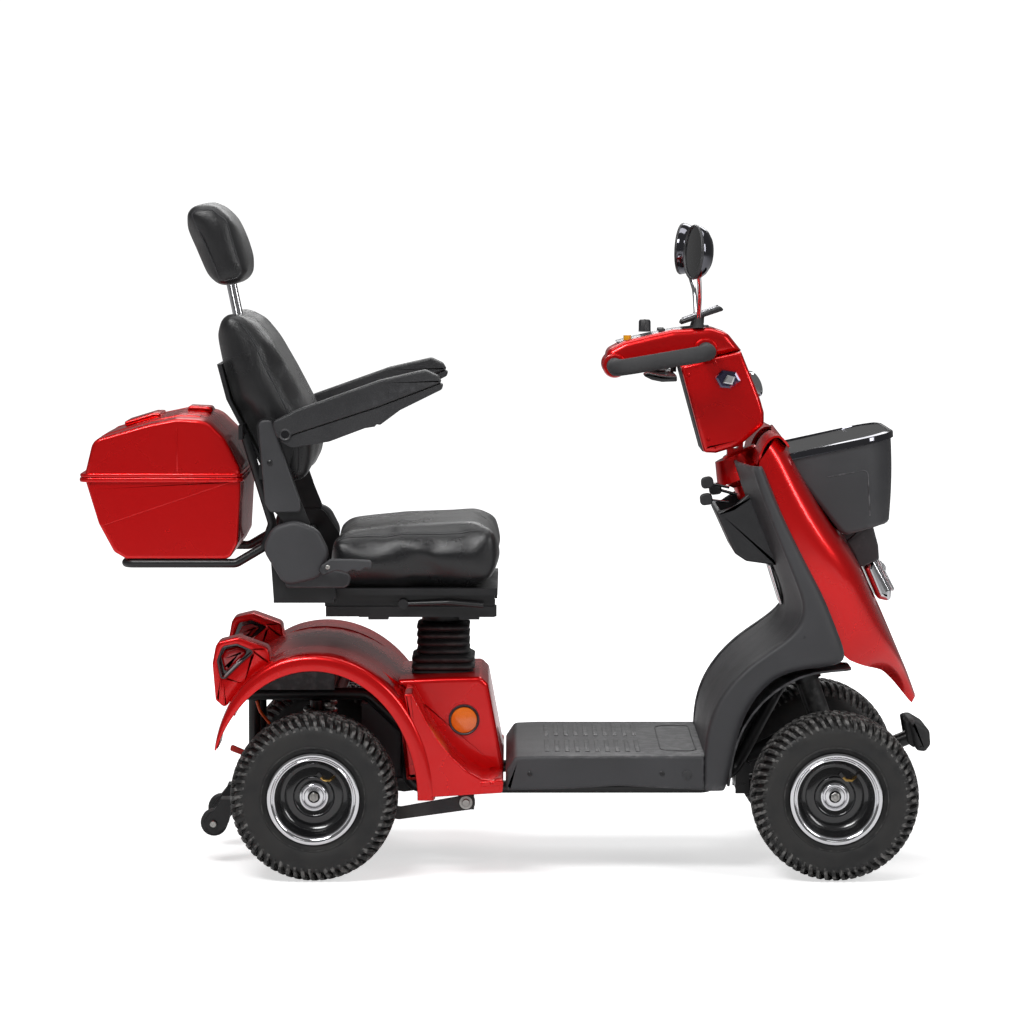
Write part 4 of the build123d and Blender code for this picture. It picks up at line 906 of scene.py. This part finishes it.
# ---- foot deck and leg shield ----
DECK = rounded([(-8, 172, 4), (-8, 212, 10), (10, 239, 14), (59, 241, 60), (384, 241), (384, 172),
    (217, 181, 200), (99, 174, 60)])
deck = panel("deck_shell", DECK, -260, 260, edge=7, steps=4, inner=3)
put(deck, "chassis", "grey_plastic", "foot_deck", angle=40)
for hand, side in HANDS:
    for number, x in enumerate(range(70, 270, 20)):
        rib = block(f"deck_rib_{hand}_{number}", (x, x + 9), span(side, 30, 200), (240.2, 242.2), 0.8,
            2)
        put(rib, "chassis", "grey_plastic")
    for number, (x, z) in enumerate(((40, 206), (300, 206))):
        put(screw(f"deck_screw_{hand}_{number}", (x, side * 260.4, z), 5, side), "chassis",
            "frame_paint")
    plug = turned(f"shield_plug_{hand}", [(0, 3), (6, 2.8), (9, 1.5), (9, -2), (0, -2)],
        (349, side * 260, 203), 40, side)
    put(plug, "chassis", "black_plastic", "body_screws")
    bolt = turned(f"swing_bolt_{hand}", [(0, 208), (7, 208), (8, 206), (8, 201), (13, 200.5),
        (13, 198), (0, 198)], (-87, 0, 139), 24, side)
    put(bolt, "chassis", "zinc_steel")
    tip = turned(f"anti_tip_bolt_{hand}", [(0, 133), (5.5, 133), (7, 131), (7, 127), (0, 127)],
        (-594, 0, 85), 24, side)
    put(tip, "chassis", "zinc_steel")
hatch = [(Vector((p.x, p.y, 241.4))) for p in rounded([(300, -190, 40), (370, -190, 20),
    (370, 190, 20), (300, 190, 40)], 6)]
put(bead("deck_hatch_line", hatch, 1.2, cyclic=True), "chassis", "grey_plastic")


# ---- front panel ----
REAR_LINE = [(485, 812), (507, 759), (530, 706), (550, 667), (570, 627), (590, 588), (610, 548),
    (636, 488), (662, 428), (700, 411), (743, 399), (770, 372), (812, 316)]
FRONT_LINE = [(526, 874), (548, 846), (570, 806), (605, 744), (640, 690), (672, 648), (699, 605),
    (718, 560), (741, 510), (763, 461), (783, 416), (800, 378), (818, 330)]
HALF_LINE = [238, 242, 244, 244, 242, 238, 230, 214, 190, 158, 112, 62, 14]
ACROSS = [-1.0, -1.0, -1.0, -0.985, -0.94, -0.86, -0.72, -0.5, -0.3, -0.17, -0.13, -0.08, 0.0]
FORWARD = [0.0, 0.22, 0.45, 0.64, 0.78, 0.87, 0.925, 0.955, 0.965, 0.972, 1.005, 1.02, 1.025]


def along(line, at):
    index = min(int(at), len(line) - 2)
    share = at - index
    first, second = line[index], line[index + 1]
    if isinstance(first, (int, float)):
        return first + (second - first) * share
    return Vector(first).lerp(Vector(second), share)


rows = []
for step in range(25):
    at = step / 24 * (len(REAR_LINE) - 1)
    back, ahead, half = along(REAR_LINE, at), along(FRONT_LINE, at), along(HALF_LINE, at)
    right = []
    for across, forward in zip(ACROSS, FORWARD):
        point = back.lerp(ahead, forward)
        right.append((point.x, across * half, point.y))
    rows.append(right + [(x, -y, z) for x, y, z in reversed(right[:-1])])
shroud = sheet("front_panel", rows, 5, offset=-1.0, smooth=1)
put(shroud, "chassis", "red_paint", "front_shroud", angle=60)
top_line = [(488, 812), (492, 836), (503, 858), (520, 872), (535, 868), (550, 846)]
for hand, side in HANDS:
    rows = [[(x, side * y, z) for y in (62, 110, 160, 205, 236)] for x, z in top_line]
    brow = sheet(f"front_brow_{hand}", rows, 4, offset=0.0, smooth=1)
    put(brow, "chassis", "red_paint", angle=60)


# ---- leg shield ----
SHIELD_REAR = [(384, 172), (384, 236), (387, 288), (404, 340), (437, 388), (480, 428), (530, 460),
    (566, 490), (579, 524), (573, 556), (559, 592), (542, 634), (524, 678), (506, 724), (489, 768),
    (476, 812)]
SHIELD_AHEAD = [(424, 172), (438, 232), (450, 292), (473, 344), (508, 386), (552, 412), (640, 418),
    (664, 432), (645, 480), (624, 534), (606, 572), (586, 608), (560, 660), (538, 704), (516, 756),
    (494, 812)]

for hand, side in HANDS:
    rows = []
    for rear, ahead in zip(SHIELD_REAR, SHIELD_AHEAD):
        row = []
        for share, draw, across in ((0, 0, 226), (0, 0, 246), (0, 1, 256), (0, 5, 260.5), (0, 10, 262),
                (0.45, 0, 262), (0.85, 0, 260), (1, 0, 250)):
            point = Vector(rear).lerp(Vector(ahead), share)
            point += (Vector(ahead) - Vector(rear)).normalized() * draw
            row.append((point.x, side * across, point.y))
        rows.append(row)
    cheek = sheet(f"shield_side_{hand}", rows, 3, offset=0.0, smooth=2)
    put(cheek, "chassis", "grey_plastic", "leg_shield", angle=60)
    arch_line = [(398, 180), (404, 244), (424, 300), (462, 352), (510, 388), (560, 410), (640, 414)]
    liner_rows = []
    for x, z in arch_line:
        liner_rows.append([(x + 34, side * y, z - 4) for y in (120, 150, 190, 226, 252)])
    liner = sheet(f"arch_liner_{hand}", liner_rows, 4, offset=0.0, smooth=1)
    put(liner, "chassis", "black_plastic", angle=60)
    slot = panel(f"shield_slot_{hand}", [(575, 470, 2), (583, 476, 2), (578, 482, 2)],
        *span(side, 261, 264), edge=0.5)
    put(slot, "chassis", "black_plastic")

rows = []
for x, z in SHIELD_REAR[1:]:
    rise = min(1.0, max(0.0, (z - 440) / 80))
    rows.append([(x + 3 - 26 * rise * min(1.0, 1.6 - abs(y) / 155), y, z - 2)
        for y in range(-248, 249, 31)])
slope = sheet("shield_floor", rows, 5, offset=0.0, smooth=1)
put(slope, "chassis", "grey_plastic", angle=60)
strip = panel("shield_strip", rounded([(520, 600, 5), (527, 603, 5), (552, 520, 5), (546, 516, 5)], 6),
    -48, 48, edge=3)
put(strip, "chassis", "chrome_trim")

# ---- pocket, basket and lamp ----
pocket = panel("pocket_body", [(411, 711, 5), (449, 628, 18), (472, 613, 12), (536, 604, 3),
    (500, 752, 6), (486, 762, 6), (474, 748, 10), (446, 722, 30)], -121, 121, edge=5, steps=4)
mouth = panel("mouth", [(400, 760), (424, 706), (458, 634, 14), (476, 622, 8), (524, 614), (489, 744),
    (497, 800)], -113, 113, edge=6)
put(cut(pocket, mouth), "chassis", "black_plastic", "storage_pocket", angle=40)
for number, (x, y, z, lean) in enumerate(((397, -60, 766, 20), (394, -80, 734, 55),
        (414, -40, 752, 0))):
    fob = panel(f"key_fob_{number}", [(x - 12, z - 13, 8), (x - 14, z + 10, 9), (x + 10, z + 14, 9),
        (x + 14, z - 10, 8)], y - 7, y + 7, edge=3)
    put(fob, "chassis", "black_plastic")
    blade = bead(f"key_blade_{number}", [(x + 8, y, z - 2), (x + 44, y * 0.9, z - 12 + lean * 0.1)],
        3.0)
    put(blade, "chassis", "chrome_trim")
tag = block("pocket_tag", (470, 486), (-70, -66), (716, 738), 1.2)
put(tag, "chassis", "signal_orange")

MOUTH_REAR, MOUTH_FRONT = (534, 828), (758, 876)
FOOT_REAR, FOOT_FRONT = (660, 668), (754, 690)


def tub_ring(share, grow, corner):
    """Ring of the basket at this share of its height, seen from above."""
    rear = Vector(FOOT_REAR).lerp(Vector(MOUTH_REAR), share)
    ahead = Vector(FOOT_FRONT).lerp(Vector(MOUTH_FRONT), min(1.0, share))
    bulge = 4 * sin(min(1.0, share) * pi)
    half = 182 + 8 * share + grow
    long = ahead.x + bulge + grow - rear.x + grow
    shape = rounded([(-grow, -half, 12), (long - grow, -half, corner), (long - grow, half, corner),
        (-grow, half, 12)], 8)
    points = []
    for p in shape:
        level = rear.y + (ahead.y - rear.y) * max(0.0, min(1.0, p.x / max(1.0, long)))
        points.append((rear.x + p.x, p.y, level))
    return points


outer = [tub_ring(0, -8, 40), tub_ring(0.02, -3, 44), tub_ring(0.05, 0, 48)]
outer += [tub_ring(k / 12, 0, 48 + k * 2.2) for k in range(1, 13)]
inner = [tub_ring(1, -4, 70)] + [tub_ring(k / 12, -4, 44 + k * 2) for k in range(11, 0, -1)]
inner += [tub_ring(0.05, -12, 40)]
tub = skin("basket_tub", outer + inner)
put(tub, "chassis", "grey_plastic", "basket", angle=40)
rim_outer = [tub_ring(0.93, 3.4, 72), tub_ring(0.935, 4.6, 73), tub_ring(0.99, 4.6, 73),
    tub_ring(1.005, 3, 72), tub_ring(1.005, -4, 70), tub_ring(0.99, -4.6, 70)]
band = skin("basket_band", rim_outer)
# Basket band in chrome dimmed as painted shade for its darker reflections.
put(band, "chassis", "shaded_chrome", "basket_rim", angle=40)
for hand, side in HANDS:
    groove = [Vector(p) for p in ((628, 786), (700, 799), (706, 796), (709, 790), (714, 708))]
    line = laid_on(tub, [(p.x, side * 196, p.y) for p in groove], -0.2)
    put(bead(f"basket_groove_{hand}", line, 1.5), "chassis", "grey_plastic")
for number, (x, y) in enumerate(((716, -60), (728, -12), (712, 46))):
    item = panel(f"basket_item_{number}", [(x - 20, 832, 8), (x - 22, 852, 9), (x + 18, 868, 9),
        (x + 20, 846, 8)], y - 18, y + 18, edge=7)
    put(item, "chassis", "signal_red")

bracket = panel("basket_cheeks", [(676, 648, 3), (702, 674, 4), (728, 684, 4), (740, 640, 5),
    (742, 613.2), (712, 598), (701.7, 598), (691.4, 623)], -70, 70, edge=3)
gap = block("gap", (640, 760), (-62, 62), (618, 720), 2)
put(cut(bracket, gap), "chassis", "grey_plastic", "basket_bracket")
shell = panel("lamp_shell", [(736, 612, 4), (770, 548, 8), (768, 524, 8), (742, 530, 10),
    (716, 590, 8), (722, 612, 4)], -48, 48, edge=9, steps=4)
put(shell, "chassis", "chrome_trim", "headlamp", angle=25)
glass = panel("lamp_glass", [(738, 610, 3), (745, 610, 4), (777, 548, 6), (771, 544, 3)], -42, 42,
    edge=2.5)
put(glass, "chassis", "lens_clear")
facets = [turned(f"lamp_cup_{k}", [(0, 0), (5, 1), (9, 4), (11, 8), (12, 8), (12, -2), (0, -2)],
    (748, k * 26, 590), 10) for k in (-1, 1)]
bowls = join("lamp_bowls", *facets)
put(bowls, "chassis", "lens_clear", angle=10)

# ---- bumper ----
pad = panel("bumper_body", [(803.5, 285, 8), (817, 285, 8), (846, 268, 16), (848.3, 237, 12),
    (838, 223, 8), (820, 225, 8)], -75, 75, edge=8, steps=4)
put(pad, "chassis", "soft_rubber", "bumper_pad", angle=40)
for number, across in enumerate(range(-60, 61, 15)):
    fin = panel(f"bumper_fin_{number}", [(798, 281, 2), (806, 286, 2), (818, 228, 2), (806, 236, 3)],
        across - 1.6, across + 1.6, edge=0.7)
    put(fin, "chassis", "soft_rubber")
for number, across in enumerate((-44, 44)):
    bolt = turned(f"bumper_bolt_{number}", [(0, 5), (6, 5), (7, 3), (7, -3), (0, -3)],
        (812, across, 252), 6)
    put(bolt, "chassis", "zinc_steel", angle=20)

# ---- steering neck ----
AXIS_FOOT, AXIS_HEAD = Vector((497, 0, 742)), Vector((461, 0, 830))
aim = (AXIS_HEAD - AXIS_FOOT).normalized()
tilt_by = Vector((0, 1, 0)).rotation_difference(aim).to_matrix().to_4x4()
for title, section in (("neck_tube", [(0, 0), (38, 0), (38, 88), (33, 92), (0, 92)]), ("neck_collar",
        [(39, 26), (43, 30), (50, 40), (54, 58), (51, 60), (46, 44), (39, 40)])):
    neck = turned(title, section, (0, 0, 0), 64)
    put(placed(neck, AXIS_FOOT, tilt_by), "stem", "red_paint", angle=40)

# ---- tiller ----
COLUMN = rounded([(388, 828, 8), (412, 827, 4), (459, 841, 10), (508, 884, 14), (508, 908, 16),
    (500, 936, 30), (462, 1030), (352, 1005), (341, 1000)], 5)
column = panel("column_shell", COLUMN, -92, 92, edge=9, steps=5, inner=3)
put(column, "tiller", "red_paint", "tiller_column", angle=40)
back = panel("column_back", [(385, 829, 4), (392, 829, 3), (347, 1000, 3), (338.5, 999, 3)], -76, 76,
    edge=3)
put(back, "tiller", "grey_plastic")
for hand, side in HANDS:
    low, high = span(side, 86, 99)
    lens = panel(f"turn_lens_{hand}", [Vector(p) for p in ((409, 978), (424, 994), (452, 990),
        (462, 972), (440, 956), (420, 958))], low, high, edge=5, steps=2)
    put(lens, "tiller", "lens_smoked", angle=15)
    facet = panel(f"turn_facet_{hand}", [Vector(p) for p in ((424, 968), (434, 984), (450, 980),
        (444, 964))], *span(side, 97, 102), edge=3, steps=2)
    put(facet, "tiller", "lens_clear", angle=15)
    for number, (x, z) in enumerate(((397, 855), (358, 984), (410, 1008))):
        put(screw(f"column_screw_{hand}_{number}", (x, side * 92.3, z), 3.6, side), "tiller",
            "red_paint")
lamp_body = turned("lamp_front", [(0, 22), (14, 21), (17, 18), (18, 12), (18, -12), (17, -18),
    (14, -21), (0, -22)], (0, 0, 0), 40)
placed(lamp_body, (494, 0, 962), Matrix.Rotation(radians(-24), 4, "Y")
    @ Matrix.Diagonal((0.7, 1.3, 1.5, 1)))
put(lamp_body, "tiller", "chrome_trim", angle=30)

HEAD = rounded([(188, 1001, 20), (196, 1032, 18), (229, 1050, 44), (278, 1062, 200), (328, 1073, 60),
    (405, 1077, 34), (436, 1066, 26), (464, 1031), (348, 1006, 30), (300, 996, 60), (216, 979, 18)], 6)
head = panel("head_shell", HEAD, -66, 66, edge=14, steps=5, inner=2)
put(head, "tiller", "red_paint", "tiller_head", angle=40)
top = [(214, 1049), (250, 1058.5), (290, 1066.5), (328, 1074.5), (368, 1078.5), (400, 1079.6)]
rows = [[(x, y, z - abs(y) ** 2 * 0.0016) for y in (-46, -30, -14, 0, 14, 30, 46)] for x, z in top]
put(sheet("head_panel", rows, 2.4, offset=0.0, smooth=1), "tiller", "alloy", angle=60)
for hand, side in HANDS:
    for number, (x, z) in enumerate(((210, 1001), (392, 1032))):
        collar = turned(f"grip_collar_{hand}_{number}", [(16.6, 44), (22, 44), (24, 50), (24.5, 66),
            (23, 73), (21, 76), (16.6, 76)], (x, 0, z), 48, side)
        put(collar, "tiller", "red_paint", angle=40)
    bend = [(210, 62, 1001), (210, 163, 1001)]
    line = []
    for k in range(9):
        t = k / 8 * pi / 2
        share = (1 - cos(t)) * 42
        line.append((210 + share * 0.986, 205 - 42 + 42 * sin(t), 1001 + share * 0.168))
    line = bend[:1] + line
    for k in range(9):
        t = k / 8 * pi / 2
        share = 42 * (1 - sin(t))
        line.append((392 - share * 0.986, 205 - 42 + 42 * cos(t), 1032 - share * 0.168))
    line.append((392, 62, 1032))
    grip = bead(f"grip_{hand}", [(x, side * y, z) for x, y, z in line], 16.4, resolution=8)
    put(grip, "tiller", "foam_grip", "handlebar", angle=60)

knob = turned("knob_skirt", [(0, 12.5), (9, 12.5), (11, 11.5), (12.6, 8), (12.8, -9), (13, -12),
    (0, -12)], (0, 0, 0), 10)
placed(knob, (272, 0, 1079), Matrix.Rotation(pi / 2, 4, "X"))
pointer = block("pointer", (270.8, 273.2), (-12, 0), (1090.8, 1092.2), 0.5)
put(join("knob_cap", knob, pointer), "knob", "black_plastic", "speed_knob", angle=25)
button = turned("horn_cap", [(0, 12), (5, 11.6), (7.4, 10), (8, 7), (8, -12), (0, -12)], (0, 0, 0), 40)
placed(button, (236, -38, 1049), Matrix.Rotation(-pi / 2, 4, "X"))
put(button, "horn", "signal_yellow", "horn_button", angle=40)
for number, across in enumerate((-34, 34)):
    rocker = block(f"rocker_{number}", (298, 312), (across - 8, across + 8), (1064, 1074.5), 2)
    put(rocker, "tiller", "black_plastic")
screen = panel("screen_body", [(341, 1081, 3), (345, 1091, 4), (423, 1119, 4), (431, 1111, 3)], -38,
    38, edge=3)
put(screen, "screen", "black_plastic", "display")
glass = panel("screen_glass", [(349, 1091.5, 1), (350, 1094.6, 1), (418, 1119, 1), (419, 1115.8, 1)],
    -33, 33, edge=1)
put(glass, "screen", "glass_dark")
frame_line = [(349, -34), (420, -34), (420, 34), (349, 34)]
bezel = bead("screen_bezel", [(x, y, 1093.6 + (x - 349) * 0.357) for x, y in frame_line], 1.5,
    cyclic=True)
put(bezel, "screen", "alloy")
arm = panel("screen_arm", [(381, 1082, 3), (391, 1082, 3), (392, 1101, 3), (380, 1097, 3)], -11, 11,
    edge=3)
put(arm, "screen", "black_plastic")
lever = []
for side in (-1, 1):
    finger = panel("finger", [(262, 987, 4), (280, 978, 8), (300, 974, 8), (330, 975, 3),
        (330, 985, 3), (300, 986, 8), (272, 992, 4)], *span(side, 120, 190), edge=3.5)
    lever.append(finger)
lever.append(block("lever_bar", (317, 331), (-150, 150), (978, 986), 2.5))
lever.append(turned("lever_shaft", [(0, 13), (6, 13), (6, -13), (0, -13)], (0, 0, 0), 24))
placed(lever[-1], (330, 0, 999), Matrix.Rotation(pi / 2, 4, "X"))
put(join("throttle_fingers", *lever), "throttle", "black_plastic", "throttle_lever")


def mirror(hand, side):
    """Rubber boot, chrome stalk and round mirror with a domed chrome back."""
    body = f"mirror_{hand}"
    boot = turned(f"mirror_boot_{hand}", [(0, 14), (5.4, 14), (6.4, 8), (8, 2), (9.4, -4), (12, -12),
        (13, -14), (0, -14)], (0, 0, 0), 32)
    placed(boot, (378, side * 55, 1091), Matrix.Rotation(-pi / 2, 4, "X")
        @ Matrix.Scale(-1, 4, (0, 1, 0)))
    close_up(boot)
    put(boot, body, "soft_rubber", f"mirror_{hand}")
    path = [(378, 55, 1094), (378, 66, 1106), (378, 100, 1133), (377, 122, 1149), (374, 170, 1165),
        (370, 228, 1186), (367, 246, 1196), (366, 262, 1217)]
    put(bead(f"mirror_stalk_{hand}", [(x, side * y, z) for x, y, z in path], 4.6, resolution=4), body,
        "chrome_trim", angle=60)
    middle = (366, side * 262, 1230)
    facing = Matrix.Rotation(radians(3.4), 4, "Y") @ Matrix.Rotation(pi / 2 - side * radians(17), 4,
                                                                     "Z")
    shell = turned(f"mirror_shell_{hand}", [(52, 10), (53, 8), (52.6, 2), (50, -6), (44, -14),
        (34, -21), (19, -26), (0, -28), (0, -24), (18, -21), (46, -4), (50, 6)], (0, 0, 0), 64)
    # Mirror back in chrome dimmed as painted shade for its darker reflections.
    put(placed(shell, middle, facing), body, "shaded_chrome", angle=50)
    face = turned(f"mirror_glass_{hand}", [(0, 9.4), (30, 9.0), (49.5, 7.6), (49.5, 4), (0, 4)],
        (0, 0, 0), 64)
    put(placed(face, middle, facing), body, "glass_dark", angle=50)
    rim = turned(f"mirror_rim_{hand}", [(49, 8), (50.5, 10.8), (52.6, 11), (54, 9), (53.4, 6),
        (50, 6)], (0, 0, 0), 64)
    put(placed(rim, middle, facing), body, "black_plastic", angle=50)


for hand, side in HANDS:
    mirror(hand, side)

# ---- looks of the nodes that stay as built ----
PLAIN = {"main_frame": "frame_paint", "batteries": "battery_case", "rear_tray": "black_plastic",
    "dampers": "frame_paint", "rear_springs": "zinc_steel", "front_springs": "soft_rubber",
    "transaxle": "drive_unit", "front_axle": "frame_paint", "tie_rod": "zinc_steel",
    "anti_tip_wheels": "soft_rubber", "freewheel_lever": "signal_red",
    "freewheel_cable": "signal_orange", "steering_stem": "red_paint", "seat_swivel": "frame_paint",
    "seat_frame": "frame_paint", "slide_lever": "frame_paint", "backrest_frame": "frame_paint",
    "headrest_posts": "chrome_trim", "knuckle_left": "frame_paint", "knuckle_right": "frame_paint"}
for name, look in PLAIN.items():
    nodes[name].data.materials.clear()
    nodes[name].data.materials.append(FINISHES[look])
for name, node in nodes.items():
    if not node.hide_render and name not in PLAIN:
        raise ValueError(f"{name} has no finish")


# ---- stage ----
def lamp(name, place, aim, size, power):
    clear_selection()
    bpy.ops.object.light_add(type="AREA", location=place)
    light = bpy.context.object
    light.name = name
    light.rotation_mode = "QUATERNION"
    light.rotation_quaternion = (Vector(aim) - Vector(place)).to_track_quat("-Z", "Y")
    light.data.shape = "RECTANGLE"
    light.data.size, light.data.size_y = size
    light.data.energy = power


FLOOR_SIZE = 30
SHADOW_REACH, WHITE_FROM = 1.0, 3.6
NEAR_GLOW, FAR_GLOW = 0.62, 1.1
AIR_LIGHT = 0.14
clear_selection()
bpy.ops.mesh.primitive_grid_add(x_subdivisions=4, y_subdivisions=4, size=FLOOR_SIZE)
floor = bpy.context.object
floor.name = "studio_floor"
paper = bpy.data.materials.new("studio_paper")
paper.use_nodes = True
tree = paper.node_tree
shader = tree.nodes["Principled BSDF"]
shader.inputs["Base Color"].default_value = (0.86, 0.86, 0.865, 1)
shader.inputs["Roughness"].default_value = 0.9
shader.inputs["Specular IOR Level"].default_value = 0.2
shader.inputs["Emission Color"].default_value = (1.0, 1.0, 1.0, 1)
place = tree.nodes.new("ShaderNodeTexCoord")
away = tree.nodes.new("ShaderNodeVectorMath")
away.operation = "LENGTH"
tree.links.new(place.outputs["Object"], away.inputs[0])
fade = ranged(tree, away.outputs["Value"], SHADOW_REACH, WHITE_FROM)
fade.node.inputs["To Min"].default_value = NEAR_GLOW
fade.node.inputs["To Max"].default_value = FAR_GLOW
seen = tree.nodes.new("ShaderNodeLightPath")
tree.links.new(math_node(tree, "MULTIPLY", seen.outputs["Is Camera Ray"], fade),
    shader.inputs["Emission Strength"])
floor.data.materials.append(paper)

lamp("key_softbox", (-1.6, -3.4, 4.2), (0.0, 0, 0.5), (2.2, 1.2), 150)
lamp("fill_softbox", (3.4, -3.2, 2.6), (0.2, 0, 0.6), (0.9, 2.2), 55)
lamp("top_softbox", (0.2, 0.4, 4.6), (0.1, 0, 0.5), (4.2, 1.8), 70)
lamp("back_softbox", (0.4, 3.6, 3.2), (0.0, 0, 0.6), (3.4, 1.6), 60)
world = bpy.data.worlds.new("studio_air")
world.use_nodes = True
tree = world.node_tree
tree.nodes["Background"].inputs["Color"].default_value = (1.0, 1.0, 1.0, 1)
seen = tree.nodes.new("ShaderNodeLightPath")
level = tree.nodes.new("ShaderNodeMapRange")
level.inputs["To Min"].default_value = AIR_LIGHT
level.inputs["To Max"].default_value = FAR_GLOW
tree.links.new(seen.outputs["Is Camera Ray"], level.inputs["Value"])
tree.links.new(level.outputs["Result"], tree.nodes["Background"].inputs["Strength"])
bpy.context.scene.world = world
bpy.context.scene.view_settings.view_transform = "Standard"

CAMERA_PLACE = (0.0045, -8.0, 1.34)
CAMERA_DOWN = radians(4.56)
CAMERA_LENS = 139.4
bpy.ops.object.camera_add(location=CAMERA_PLACE, rotation=(pi / 2 - CAMERA_DOWN, 0, 0))
camera = bpy.context.object
camera.data.lens = CAMERA_LENS
camera.data.sensor_width = 36.0
camera.data.clip_end = 60.0
bpy.context.scene.camera = camera
